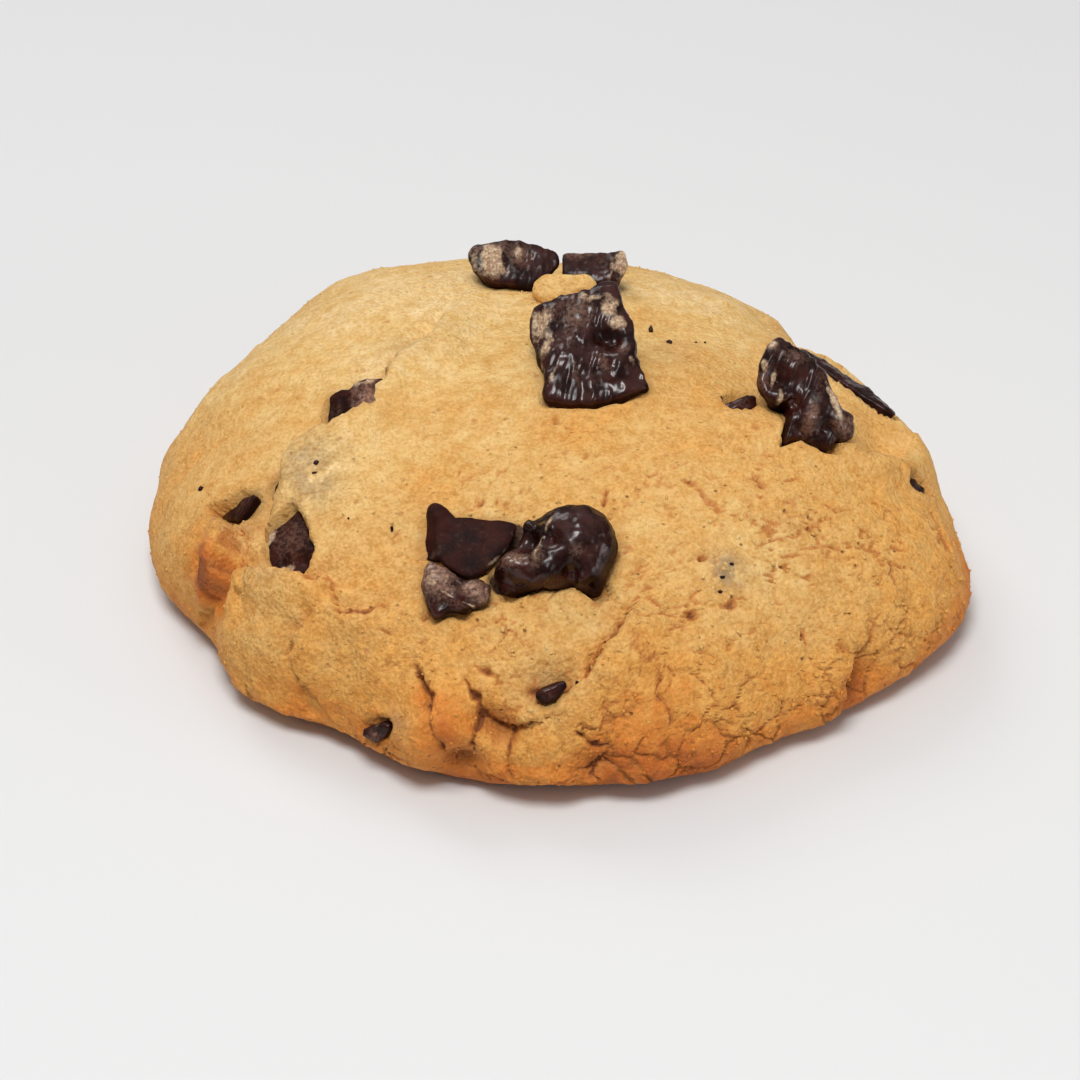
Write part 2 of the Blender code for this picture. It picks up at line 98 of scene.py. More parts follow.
def lattice_noise(points, cell, seed):
    """Random values from -1 to 1 on a cubic lattice, each point blending its eight neighbours smoothly."""
    side = 24
    values = np.random.default_rng(seed).uniform(-1.0, 1.0, (side, side, side))
    scaled = points / cell
    low = np.floor(scaled).astype(int)
    part = scaled - low
    blend = part * part * (3.0 - 2.0 * part)
    total = np.zeros(len(points))
    for corner in itertools.product((0, 1), repeat=3):
        weight = np.prod(np.where(corner, blend, 1.0 - blend), axis=1)
        at = (low + corner) % side
        total += weight * values[at[:, 0], at[:, 1], at[:, 2]]
    return total


def layered_noise(points, cell, seed, layers=3):
    """Noise, plus half as much at half the cell, and so on."""
    return sum(lattice_noise(points, cell / 2**n, seed + n) / 2**n for n in range(layers))


def bell(points, centre, radius):
    """exp(-(d / radius)²) of the distance d from the centre, both given in mm."""
    apart = np.linalg.norm(points - np.array(centre) * MM, axis=1)
    return np.exp(-((apart / (radius * MM)) ** 2))


# %% Lines over the crust
def smooth_line(corners, steps=6):
    """A Catmull-Rom curve through the corners: each span is a cubic through its two neighbours too."""
    knots = np.array(corners, float) * MM
    knots = np.vstack([2 * knots[0] - knots[1], knots, 2 * knots[-1] - knots[-2]])
    share = np.linspace(0.0, 1.0, steps, endpoint=False)[:, None]
    runs = []
    for before, start, end, after in zip(knots, knots[1:], knots[2:], knots[3:]):
        bend = 2 * start + (end - before) * share
        bend = bend + (2 * before - 5 * start + 4 * end - after) * share**2
        bend = bend + (3 * start - before - 3 * end + after) * share**3
        runs.append(bend / 2)
    return np.vstack([*runs, knots[-2:-1]])


def around(points, line, margin):
    """Numbers of the points that lie within the margin of the ball around a line."""
    low, high = line.min(axis=0), line.max(axis=0)
    reach = np.linalg.norm(high - low) / 2 + margin
    return np.flatnonzero(np.linalg.norm(points - (low + high) / 2, axis=1) < reach)


def nearest_on_line(points, normals, line, flat=False):
    """Signed distance to a line, positive on its left as seen from outside, and the share along it.

    With flat the distance is taken along the surface, without its part along the normal.
    """
    starts, spans = line[:-1], np.diff(line, axis=0)
    offset = points[:, None] - starts[None]
    along = np.clip((offset * spans).sum(-1) / (spans**2).sum(-1), 0.0, 1.0)
    apart = offset - along[..., None] * spans
    if flat:
        apart -= (apart * normals[:, None]).sum(-1, keepdims=True) * normals[:, None]
    distance = np.linalg.norm(apart, axis=-1)
    best = distance.argmin(axis=1)
    rows = np.arange(len(points))
    left = np.cross(normals, spans[best])
    side = (left * apart[rows, best]).sum(-1)
    share = (best + along[rows, best]) / len(spans)
    return distance[rows, best] * np.where(side < 0.0, -1.0, 1.0), share


# %% [markdown]
# ## The dome of dough
# The dough is worked out on a square grid that is bent into a disc, ring by ring, so that its cells
# stay nearly the same size from the crown to the rim. A polar grid would crowd its points at the
# crown and starve the rim, where the browned crust shows most. A few coarser rings then close the
# flat base.

# %% Sizes of the dough
HALF_WIDTH = 44.8 * MM
FRONT_REACH = 42.2 * MM
BACK_REACH = 46.0 * MM
DOME_HEIGHT = 23.4 * MM
RIM_HEIGHT = 4.5 * MM
BASE_INSET = 5.0 * MM
DOME_SQUARENESS = 2.2
GRID_RINGS = 146
TOP_GRID_END = 1.35
BASE_STATIONS = (1.5, 1.66, 1.83, 2.0, 2.2, 2.5, 2.8)
FRONT_CROWDING = 0.3
# Direction in degrees, height in mm and half width in degrees of each lobe or flat of the rim.
LOBES = (
    (32, -3.2, 13),
    (60, -1.0, 14),
    (123, 2.8, 11),
    (150, -0.6, 12),
    (206, -2.9, 14),
    (178, -1.0, 12),
    (41, -1.9, 8),
    (305, -0.8, 8),
    (236, -2.8, 13),
    (270, 0.2, 10),
    (292, 0.8, 11),
    (330, 0.7, 9),
    (345, 2.6, 11),
    (8, -1.3, 12),
)
dough_low, dough_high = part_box("dough")
print("dough box in mm:", [round((h - l) / MM, 1) for l, h in zip(dough_low, dough_high)])


# %% The plain dome
def outline(angle):
    """Reach of the rim: an ellipse with a shorter front, plus a bell-shaped lobe or flat for each entry."""
    depth = np.where(np.sin(angle) > 0.0, BACK_REACH, FRONT_REACH)
    reach = 1.0 / np.sqrt((np.cos(angle) / HALF_WIDTH) ** 2 + (np.sin(angle) / depth) ** 2)
    degrees = np.degrees(angle)
    for direction, height, half_width in LOBES:
        off = (degrees - direction + 180.0) % 360.0 - 180.0
        reach = reach + height * MM * np.exp(-((off / half_width) ** 2))
    return reach


def plain_dough(angle, station):
    """Station 0 to 1 is a superellipse dome, 1 to 2 the quarter-round lower edge, 2 to 3 the flat base."""
    down = np.clip(station, 0.0, 1.0) * math.pi / 2
    under = np.clip(station - 1.0, 0.0, 1.0) * math.pi / 2
    inwards = np.clip(station - 2.0, 0.0, 1.0)
    rim = outline(angle)
    dome_radius = rim * np.sin(down) ** (2.0 / DOME_SQUARENESS)
    radius = np.where(station > 1.0, rim - BASE_INSET * (1.0 - np.cos(under)), dome_radius)
    radius = radius * (1.0 - inwards)
    height = RIM_HEIGHT + (DOME_HEIGHT - RIM_HEIGHT) * np.cos(down)
    height = np.where(station > 1.0, RIM_HEIGHT * (1.0 - np.sin(under)), height)
    return np.stack([radius * np.cos(angle), radius * np.sin(angle), height], axis=1)


def outward(points):
    """Direction in which the crust swells: that of an ellipsoid through the rim and the crown."""
    direction = points - (0.0, 0.0, RIM_HEIGHT)
    direction = direction / (HALF_WIDTH**2, HALF_WIDTH**2, (DOME_HEIGHT - RIM_HEIGHT) ** 2)
    return direction / np.linalg.norm(direction, axis=1, keepdims=True)


# %% The disc made of squares
def disc_grid(rings):
    """Ring share and direction of each grid point: a square of side 2, bent so its rings become circles."""
    steps = np.linspace(-1.0, 1.0, 2 * rings + 1)
    across, up = (a.ravel() for a in np.meshgrid(steps, steps))
    wide = np.abs(across) > np.abs(up)
    ring = np.where(wide, across, up)
    safe = np.where(ring == 0.0, 1.0, ring)
    turn = np.where(wide, up / safe, 2.0 - across / safe) * math.pi / 4
    angle = np.where(ring < 0.0, turn + math.pi, turn)
    return np.abs(ring), angle


def grid_faces(side):
    """The square cells of a grid, each with its four corners counter-clockwise."""
    first = np.arange((side - 1) * side).reshape(side - 1, side)[:, :-1].ravel()
    return np.stack([first, first + 1, first + side + 1, first + side], axis=1)


def grid_border(side):
    """The grid's outer points in order, counter-clockwise."""
    last = side - 1
    walk = np.arange(last)
    bottom, right = walk, walk * side + last
    top, left = last * side + last - walk, (last - walk) * side
    return np.concatenate([bottom, right, top, left])


def dough_grid():
    """Angle, station and faces of the whole skin: the disc on top, rings below it, and one base face.

    The disc's points z are drawn to the front by the Moebius map (z - ik) / (1 + ikz), which keeps its rim.
    """
    ring, direction = disc_grid(GRID_RINGS)
    place = ring * np.exp(1j * direction)
    drawn = (place - 1j * FRONT_CROWDING) / (1.0 + 1j * FRONT_CROWDING * place)
    ring, angle = np.abs(drawn), np.angle(drawn)
    side = 2 * GRID_RINGS + 1
    faces = grid_faces(side).tolist()
    edge = grid_border(side)
    following = np.roll(np.arange(len(edge)), -1)
    angles, stations, previous = [angle], [ring * TOP_GRID_END], edge
    for number, base_station in enumerate(BASE_STATIONS):
        current = len(angle) + number * len(edge) + np.arange(len(edge))
        strip = np.stack([previous, current, current[following], previous[following]], axis=1)
        faces.extend(strip.tolist())
        angles.append(angle[edge])
        stations.append(np.full(len(edge), base_station))
        previous = current
    faces.append(previous[::-1].tolist())
    return np.concatenate(angles), np.concatenate(stations), faces


# %% [markdown]
# ## Relief of the crust
# The photograph shows mounds where chunks lie near the surface, hollows, folds where one layer of
# dough slid over the next, and splits. Each is a named entry with its place and size in mm, and each
# kind has one formula. Lumps are plain bells. A fold is a quarter-round lip along a line.

# %% Places and sizes of the relief
# Centre, radius and height of each mound, or hollow where the height is negative.
MOUNDS = (
    ((-19.5, -13.0, 20.3), 8.5, 2.0),
    ((-20.5, -31.5, 12.0), 7.0, 0.9),
    ((-29.5, -25.5, 10.0), 6.0, 1.1),
    ((-30.5, -13.5, 15.5), 3.2, -1.7),
    ((-31.0, -18.2, 13.2), 2.8, -1.3),
    ((-34.2, -19.6, 8.4), 1.7, -1.8),
    ((-36.8, -17.4, 5.6), 2.4, -1.0),
    ((-36.4, -13.4, 10.6), 3.6, 1.4),
    ((-24.5, 16.0, 19.0), 12.0, 1.5),
    ((-9.0, 31.0, 18.0), 9.0, 0.9),
    ((-21.0, 28.0, 16.5), 9.0, 0.7),
    ((31.0, 13.0, 16.5), 7.0, 1.2),
    ((-23.8, -2.0, 20.2), 4.0, -1.1),
    ((-3.0, -25.0, 19.8), 8.0, -1.3),
    ((-3.4, -24.6, 20.3), 1.6, -2.2),
    ((-5.2, -28.2, 18.9), 1.7, -1.6),
    ((4.5, 4.0, 23.3), 9.0, 0.9),
    ((24.0, -14.0, 20.0), 12.0, 0.7),
    ((23.4, -5.6, 20.8), 3.2, 0.9),
    ((36.4, -0.6, 16.0), 3.2, -1.6),
    ((39.6, 3.2, 12.6), 4.6, 1.7),
    ((36.0, -21.0, 10.5), 7.0, 0.9),
    ((32.4, -29.0, 5.6), 2.6, -2.4),
    ((10.0, -40.5, 9.0), 7.5, 0.9),
    ((-1.9, -43.0, 7.2), 3.6, 0.9),
    ((4.8, -43.2, 5.0), 1.9, -2.0),
    ((-4.8, -41.6, 9.6), 1.9, -3.2),
    ((-6.9, -40.8, 10.6), 1.5, -1.9),
    ((-6.8, -42.0, 8.0), 1.2, 1.0),
    ((-9.3, -42.2, 4.6), 2.0, -3.0),
    ((-9.9, -40.3, 9.2), 2.4, 1.5),
    ((-13.7, -40.0, 6.2), 3.1, 2.3),
    ((-13.4, -39.8, 8.6), 1.4, 0.8),
    ((-0.4, -38.8, 13.0), 3.4, -1.2),
)
# Points, step, lip and reach in mm. The upper layer lies on the left of its line.
FOLDS = (
    (((-10.9, 18.8, 21.7), (-13.7, 10.2, 22.2), (-17.3, 3.8, 22.1), (-21.4, -4.3, 21.1),
      (-25.0, -5.9, 20.0), (-28.4, -8.9, 18.2), (-29.9, -14.0, 16.0), (-30.3, -19.5, 13.4)),
     2.4, 1.4, 7.0),
    (((-36.6, -17.4, 5.8), (-34.4, -18.3, 9.6), (-33.2, -16.7, 12.4), (-33.5, -13.9, 13.7),
      (-35.2, -11.4, 13.5)), 2.3, 0.9, 4.5),
    (((-21.2, -26.4, 15.6), (-23.8, -24.8, 15.4), (-25.6, -23.4, 15.1), (-29.3, -21.0, 13.6),
      (-31.4, -18.8, 13.0), (-33.0, -18.2, 11.4), (-33.4, -20.4, 9.8)), 1.5, 1.0, 6.0),
    (((-13.8, -29.2, 16.9), (-17.9, -29.2, 15.6), (-21.6, -28.3, 14.6), (-24.8, -24.2, 15.1)),
     0.8, 1.2, 5.0),
    (((-23.2, -27.6, 14.2), (-25.4, -28.9, 11.9), (-26.6, -30.1, 9.2), (-24.5, -33.3, 5.9)),
     1.1, 1.1, 6.0),
    (((9.1, -30.2, 17.7), (7.6, -32.6, 16.7), (5.3, -36.2, 14.9), (2.1, -39.1, 13.0),
      (-1.0, -40.4, 11.8)), 1.6, 1.1, 7.0),
    (((30.6, -31.2, 3.0), (31.8, -29.6, 6.0), (32.6, -27.6, 9.0)), 1.8, 1.8, 7.0),
    (((38.6, 1.4, 14.2), (36.4, -3.8, 16.3), (33.8, -5.8, 17.7), (31.0, -4.6, 18.6)), 1.6, 1.3, 5.0),
    (((-7.1, -42.5, 3.4), (-3.0, -43.3, 3.4), (5.2, -42.9, 3.0), (12.2, -40.9, 3.0)), 0.9, 0.8, 3.0),
    (((-33.9, -22.2, 2.3), (-28.3, -30.3, 2.5), (-21.2, -35.7, 2.1), (-15.4, -39.2, 2.2)), 0.8, 0.8, 3.0),
    (((-14.0, -35.0, 13.2), (-12.5, -37.8, 11.3), (-11.6, -40.2, 8.4), (-10.4, -41.4, 6.4)),
     0.9, 0.9, 4.0),
    (((-6.2, -40.7, 10.3), (-3.3, -41.6, 9.9), (-0.3, -41.2, 10.8)), 1.1, 0.8, 3.0),
)
UNDERCUT = 0.5
UNDERCUT_WIDTH = 1.1
SWELLS = ((9.0, 0.55, 11), (4.2, 0.26, 12))
print("mounds and hollows:", len(MOUNDS), "folds:", len(FOLDS))


# %% Broad relief
def fold_lift(points, shaken, normals, fold):
    """A quarter circle up from the line, held over the lip width, then an S-curve back to the crust.

    An S-curve softens its foot, more towards the back, where the grid's cells are larger.
    """
    corners, step, lip, reach = fold
    line = smooth_line(corners)
    near = around(points, line, reach * MM)
    lift = np.zeros(len(points))
    distance, share = nearest_on_line(shaken[near], normals[near], line)
    across = distance / MM
    soft = 0.4 + 0.8 * smooth_step(-22.0 * MM, 2.0 * MM, points[near, 1])
    edge = smooth_step(-0.3, 0.7, across / soft)
    rise = np.sqrt(1.0 - (1.0 - np.clip(across / lip, 0.0, 1.0)) ** 2) * edge
    sink = 1.0 - smooth_step(lip, reach, across)
    under = -UNDERCUT * np.exp(-((across / UNDERCUT_WIDTH) ** 2)) * (1.0 - edge)
    ends = np.sqrt(np.clip(np.sin(math.pi * np.clip(share, 0.03, 0.97)), 0.0, 1.0))
    lift[near] = step * MM * ends * (rise * sink + under)
    return lift


def relief(points, shaken, normals):
    """The sum of bells, folds and two sizes of swell, fading out at the base."""
    lift = sum(height * MM * bell(points, centre, radius) for centre, radius, height in MOUNDS)
    lift += sum(fold_lift(points, shaken, normals, fold) for fold in FOLDS)
    for cell, height, seed in SWELLS:
        lift += height * MM * lattice_noise(points, cell * MM, seed)
    return lift * smooth_step(0.4 * MM, 3.6 * MM, points[:, 2])


# %% [markdown]
# ## Chocolate blocks
# A chunk is a hewn block of chocolate. Its outline is a polygon in the plane of its front face, and a
# superellipse takes it from the front pole over the edge to the back pole. A high squareness gives a
# flat face with a firm edge, and 2 gives a ball. Flat cuts then split off what lies past a plane. The
# middle of each block comes from the box of its solid, so it stays where the frame has it.

# %% Shapes of the blocks
# Facing: azimuth and elevation of the front face in degrees. Corners: mm sideways and upwards in the
# face. Depths: mm to the front and to the back. Cuts: a direction and its distance in mm.
CHUNKS = {
    "chunk_front_flat": dict(
        facing=(-90, 56), depths=(0.8, 3.4), squareness=5.0, seed=1,
        corners=((-3.7, 5.1), (-4.4, 2.8), (-4.8, 0.0), (-4.6, -1.9), (-3.1, -1.3), (-2.4, -2.3),
                 (-1.1, -3.5), (0.2, -4.0), (1.5, -3.3), (3.2, -1.4), (4.6, 0.3), (5.4, 2.6), (3.7, 3.0),
                 (-1.7, 3.1), (-2.6, 4.5)),
        cuts=(((-0.8, 0.0, 0.6), 3.1),)),
    "chunk_front_glossy": dict(
        facing=(-90, 46), depths=(3.0, 5.0), squareness=2.3, seed=2,
        corners=((5.0, 0.8), (4.7, 2.3), (3.7, 3.7), (2.1, 4.6), (0.3, 4.7), (-1.7, 4.3), (-3.1, 3.4),
                 (-4.0, 3.7), (-5.0, 2.7), (-5.6, 0.7), (-6.4, -0.6), (-7.6, -1.8), (-8.2, -2.7),
                 (-7.3, -3.9), (-7.2, -5.2), (-6.2, -5.6), (-5.0, -5.7), (-4.1, -4.5), (-3.2, -4.0),
                 (-1.7, -4.3), (0.7, -3.8), (1.5, -4.7), (2.2, -5.4), (2.9, -5.5), (4.0, -4.9),
                 (3.9, -3.2), (4.8, -0.7)),
        cuts=()),
    "chunk_front_pale": dict(
        facing=(-90, 46), depths=(1.6, 3.6), squareness=2.7, seed=3,
        corners=((-3.0, 3.3), (-1.7, 2.7), (-0.6, 1.8), (0.7, 1.1), (2.5, 1.2), (3.5, 0.4), (3.5, -0.7),
                 (3.0, -1.3), (1.3, -2.0), (0.9, -2.8), (-0.6, -2.4), (-1.7, -2.8), (-2.4, -3.4),
                 (-2.9, -2.4), (-3.7, 0.6), (-3.8, 2.5)),
        cuts=()),
    "chunk_crown": dict(
        facing=(-90, 62), depths=(1.3, 8.5), squareness=4.2, seed=4,
        corners=((-5.3, -6.0), (-3.7, -6.7), (-0.8, -6.9), (1.6, -6.9), (3.3, -6.0), (5.3, -5.2),
                 (6.9, -4.7), (6.8, -3.6), (5.6, -2.1), (5.0, -0.5), (5.0, 3.3), (4.7, 4.5), (3.6, 5.8),
                 (3.5, 8.8), (1.4, 9.0), (-0.3, 8.1), (-2.8, 7.3), (-5.7, 6.3), (-6.5, 4.8), (-6.7, 2.7),
                 (-6.0, -0.1), (-5.0, -2.4), (-4.6, -4.6)),
        cuts=(((-0.72, 0.0, 0.69), 4.4), ((0.0, 0.72, 0.69), 6.6))),
    "chunk_right": dict(
        facing=(-80, 50), depths=(1.6, 5.5), squareness=3.0, seed=7,
        corners=((5.9, -3.3), (5.0, -1.0), (3.4, 0.4), (2.4, 2.6), (0.3, 5.2), (-1.8, 6.2), (-4.1, 6.7),
                 (-5.0, 5.3), (-5.6, 3.1), (-5.6, 1.4), (-5.0, -0.2), (-3.6, -1.2), (-2.4, -0.9),
                 (-1.9, -1.9), (-2.0, -3.4), (-2.9, -6.5), (-0.9, -5.0), (0.3, -4.8), (1.5, -5.7),
                 (3.9, -5.7), (3.9, -3.8), (5.9, -4.1)),
        cuts=()),
    "chunk_right_sliver": dict(
        facing=(-80, 60), depths=(0.5, 1.6), squareness=2.6, seed=9,
        corners=((1.6, 1.0), (0.6, 1.2), (-0.7, 0.5), (-2.2, -0.4), (-0.8, -1.2), (0.5, -0.9),
                 (1.6, -0.2)),
        cuts=()),
    "chunk_right_edge": dict(
        facing=(29, 59), depths=(0.6, 3.0), squareness=3.0, seed=8,
        corners=((-5.6, 4.9), (-4.2, 5.2), (-1.2, 3.4), (0.8, 1.6), (3.2, -0.8), (5.2, -2.9), (5.8, -4.6),
                 (4.2, -4.9), (0.9, -2.9), (-1.2, -1.2), (-3.6, 0.8), (-5.0, 2.8)),
        cuts=()),
    "chunk_back_left": dict(
        facing=(-90, 58), depths=(0.8, 5.5), squareness=3.2, seed=5,
        corners=((-4.7, 2.8), (-2.3, 3.2), (0.2, 3.5), (3.0, 2.9), (5.5, 2.1), (5.4, 0.3), (3.4, -2.2),
                 (1.9, -2.8), (-1.2, -2.4), (-2.9, -2.0), (-4.3, -0.6), (-5.2, 1.2)),
        cuts=()),
    "chunk_back_right": dict(
        facing=(-90, 58), depths=(0.6, 5.5), squareness=4.0, seed=6,
        corners=((-3.7, 2.2), (-1.2, 2.3), (1.3, 2.3), (3.7, 2.3), (3.8, 0.4), (3.0, -1.7), (2.0, -2.0),
                 (0.6, -2.0), (-2.3, -1.9), (-3.6, -1.3)),
        cuts=()),
    "chunk_left_back": dict(
        facing=(-115, 55), depths=(0.9, 3.6), squareness=4.0, seed=10,
        corners=((4.3, 2.4), (4.0, 3.2), (1.3, 3.1), (-0.4, 2.2), (-2.2, 2.4), (-2.8, 2.3), (-3.6, -0.3),
                 (-3.6, -2.9), (-1.5, -2.6), (-0.6, -3.4), (1.1, -3.8), (2.3, -1.4), (2.8, 1.0)),
        cuts=(((0.42, 0.0, 0.91), 0.75), ((-0.34, 0.0, 0.94), 0.75))),
    "chunk_left": dict(
        facing=(-140, 50), depths=(0.6, 3.6), squareness=4.5, seed=11,
        corners=((1.7, 3.5), (-0.4, 2.9), (-2.6, 2.3), (-3.2, -0.3), (-3.1, -2.5), (-0.5, -3.8),
                 (1.3, -4.8), (2.7, -3.4), (2.4, -1.5), (2.1, 1.2)),
        cuts=()),
    "chunk_left_top": dict(
        facing=(-140, 50), depths=(0.5, 1.8), squareness=3.0, seed=16,
        corners=((1.0, 1.4), (0.4, 1.6), (-0.6, 1.0), (-0.9, -0.2), (0.1, -1.3), (1.1, -0.4)),
        cuts=()),
    "chunk_left_slit": dict(
        facing=(-165, 40), depths=(0.4, 2.4), squareness=3.0, seed=12,
        corners=((3.3, -0.9), (2.4, 0.2), (0.5, 1.1), (-0.9, 0.8), (-2.6, 1.4), (-3.6, 1.8), (-2.2, 0.1),
                 (-0.6, -1.8), (1.1, -1.6)),
        cuts=()),
    "chunk_rim": dict(
        facing=(-110, 12), depths=(0.5, 2.2), squareness=3.4, seed=13,
        corners=((2.2, -0.6), (1.5, 0.3), (-0.5, 1.5), (-1.2, 1.2), (-0.9, -0.6), (0.1, -0.9),
                 (1.3, -0.9)),
        cuts=()),
    "chunk_sunken": dict(
        facing=(-90, 25), depths=(0.4, 2.2), squareness=3.0, seed=14,
        corners=((2.2, 0.9), (1.8, 1.6), (0.4, 0.9), (-0.8, 0.5), (-1.5, -0.1), (-0.9, -0.9),
                 (-0.2, -1.0), (0.9, -0.4)),
        cuts=()),
    "chunk_far_right": dict(
        facing=(-20, 40), depths=(0.4, 1.8), squareness=3.0, seed=15,
        corners=((1.5, 0.7), (0.2, 0.6), (-0.5, 0.9), (-1.1, 0.4), (-1.0, -0.9), (-0.3, -0.9),
                 (1.2, -0.2)),
        cuts=()),
}
# A knob of dough that stands up between the chunks at the back, in the same terms.
KNOBS = {
    "dough_knob": dict(
        facing=(-90, 50), depths=(1.5, 2.4), squareness=2.6, seed=17,
        corners=((-3.7, -0.7), (-3.6, 0.7), (-2.5, 1.7), (-0.1, 1.9), (3.0, 1.7), (3.8, 0.8), (3.4, -0.3),
                 (0.9, -0.9), (-1.1, -1.6), (-2.9, -1.6)),
        cuts=()),
}
BLOCKS = {**CHUNKS, **KNOBS}
CORNER_ROUNDING = math.radians(5)
BACK_TAPER = 0.22


# %% Block surface
def facing_axes(azimuth, elevation):
    """Rows: sideways to the right, upwards along the face, and outwards from it."""
    turn, tilt = math.radians(azimuth), math.radians(elevation)
    out = np.array([math.cos(turn) * math.cos(tilt), math.sin(turn) * math.cos(tilt), math.sin(tilt)])
    side = np.array([out[2], 0.0, -out[0]]) / math.hypot(out[0], out[2])
    return np.stack([side, np.cross(out, side), out])


def corner_reach(corners, angle):
    """Distance from the middle to the straight-sided outline: cross(p, e) / cross(d, e) on its edge e."""
    corners = np.array(sorted(corners, key=lambda c: math.atan2(c[1], c[0]))) * MM
    turns = np.arctan2(corners[:, 1], corners[:, 0])
    angle = (angle + math.pi) % (2 * math.pi) - math.pi
    number = (np.searchsorted(turns, angle) - 1) % len(corners)
    start = corners[number]
    edge = corners[(number + 1) % len(corners)] - start
    across = np.cos(angle) * edge[:, 1] - np.sin(angle) * edge[:, 0]
    return (start[:, 0] * edge[:, 1] - start[:, 1] * edge[:, 0]) / across


def rounded_reach(corners, angle):
    """The mean of the reach a little before, at and a little after each direction."""
    return sum(corner_reach(corners, angle + off * CORNER_ROUNDING) for off in (-1, -0.5, 0, 0.5, 1)) / 5


def block_grid(columns, rows):
    """Direction round the outline, and tilt from the front pole to the back pole."""
    turn = np.linspace(-math.pi, math.pi, columns, endpoint=False)
    tilt = math.pi * np.linspace(0.0, 1.0, rows + 1) ** 1.15
    tilt, turn = (a.ravel() for a in np.meshgrid(tilt[1:-1], turn, indexing="ij"))
    return np.append(turn, (0.0, 0.0)), np.append(tilt, (0.0, math.pi))


def block_points(shape, turn, tilt):
    """Outline times the superellipse share, tapered to the back, then pressed flat at each cut."""
    power = shape["squareness"]
    norm = (np.sin(tilt) ** power + np.abs(np.cos(tilt)) ** power) ** (1.0 / power)
    depth = np.cos(tilt) / norm
    share = np.sin(tilt) / norm * (1.0 - BACK_TAPER * np.clip(-depth, 0.0, 1.0))
    reach = rounded_reach(shape["corners"], turn) * share
    front, back = shape["depths"]
    height = depth * np.where(depth > 0.0, front, back) * MM
    points = np.stack([reach * np.cos(turn), reach * np.sin(turn), height], axis=1)
    for direction, distance in shape["cuts"]:
        facing = np.array(direction) / np.linalg.norm(direction)
        over = np.clip(points @ facing - distance * MM, 0.0, None)
        points = points - over[:, None] * facing
    return points


def block_faces(columns, rows):
    """Square cells between the rows, and triangles to the two poles."""
    first = np.arange(columns)
    after = (first + 1) % columns
    start = np.arange(rows - 2)[:, None] * columns
    cells = [start + first, start + columns + first, start + columns + after, start + after]
    squares = np.stack([c.ravel() for c in cells], axis=1)
    front_pole, last = columns * (rows - 1), (rows - 2) * columns
    caps = [(front_pole, a, b) for a, b in zip(first.tolist(), after.tolist())]
    caps += [(front_pole + 1, b + last, a + last) for a, b in zip(first.tolist(), after.tolist())]
    return squares.tolist() + caps


def block_middle(name):
    """Where the block's own origin is, so that its turned shape fills the box of its solid."""
    shape = BLOCKS[name]
    plain = block_points(shape, *block_grid(60, 40)) @ facing_axes(*shape["facing"])
    low, high = (np.array(corner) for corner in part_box(name))
    return (low + high) / 2 - (plain.min(axis=0) + plain.max(axis=0)) / 2


MIDDLES = {name: block_middle(name) for name in BLOCKS}
print({name: [round(float(c) / MM, 1) for c in middle] for name, middle in MIDDLES.items()})

# %% [markdown]
# ## Where dough and chocolate meet
# Dough closed round each block while it baked, and then shrank back a little. The crust is looked at
# from each block: inside its outline the dough is pressed below the front face, and just outside it
# there is a small swollen lip. The outline is shaken by noise, so the edge looks torn. Next to the
# block the dough is darkened, as painted shade with a little brown stain.

# %% Meeting of dough and chocolate
SEAT_DEPTH = 0.9 * MM
SEAT_CLEARANCE = 0.12 * MM
WALL = 0.28 * MM
LIP_HEIGHT = 0.28 * MM
LIP_WIDTH = 0.9 * MM
LIP_SPREAD = 0.7 * MM
SEAT_HEIGHT = 4.5 * MM
NEAR_FACE = 2.5 * MM
TORN_EDGE = 0.28 * MM
TORN_CELL = 1.3 * MM
# Reach of the darkening beside a block: painted shade at the seam, with a little brown stain.
STAIN_AND_SHADE_REACH = 0.45 * MM


def seat(points, name):
    """Push below the face, lip height and nearness for each point, all along the block's outward axis. The
    nearness darkens the dough at the seam: painted shade with a little brown stain.
    """
    shape = CHUNKS[name]
    local = (points - MIDDLES[name]) @ facing_axes(*shape["facing"]).T
    size = max(math.hypot(*corner) for corner in shape["corners"]) * MM
    beside = np.hypot(local[:, 0], local[:, 1]) < 1.8 * size
    near = np.flatnonzero((np.abs(local[:, 2]) < SEAT_HEIGHT) & beside)
    push, lip, stain_and_shade = (np.zeros(len(points)) for _ in range(3))
    place = local[near]
    reach = rounded_reach(shape["corners"], np.arctan2(place[:, 1], place[:, 0]))
    beyond = np.hypot(place[:, 0], place[:, 1]) - reach - SEAT_CLEARANCE
    beyond += TORN_EDGE * layered_noise(points[near], TORN_CELL, 41)
    inside = 1.0 - smooth_step(0.0, WALL, beyond)
    push[near] = inside * np.clip(place[:, 2] + SEAT_DEPTH, 0.0, None)
    close = np.exp(-((place[:, 2] / NEAR_FACE) ** 2))
    lip[near] = LIP_HEIGHT * close * np.exp(-(((beyond - LIP_WIDTH) / LIP_SPREAD) ** 2)) * (beyond > 0.0)
    # Painted shade at the seam, with a little brown stain, fading away from the block's edge.
    stain_and_shade[near] = close * np.exp(-np.clip(beyond, 0.0, None) / STAIN_AND_SHADE_REACH)
    return push, lip, stain_and_shade


# %% [markdown]
# ## Cracks
# As the crust set, it split. Long cracks run beside the folds and down the front, and short ones lie
# in a loose network on the right. A crack is a V groove along a line, and the crust is shaken by noise
# before its distance to the line is measured, so that the groove comes out jagged.

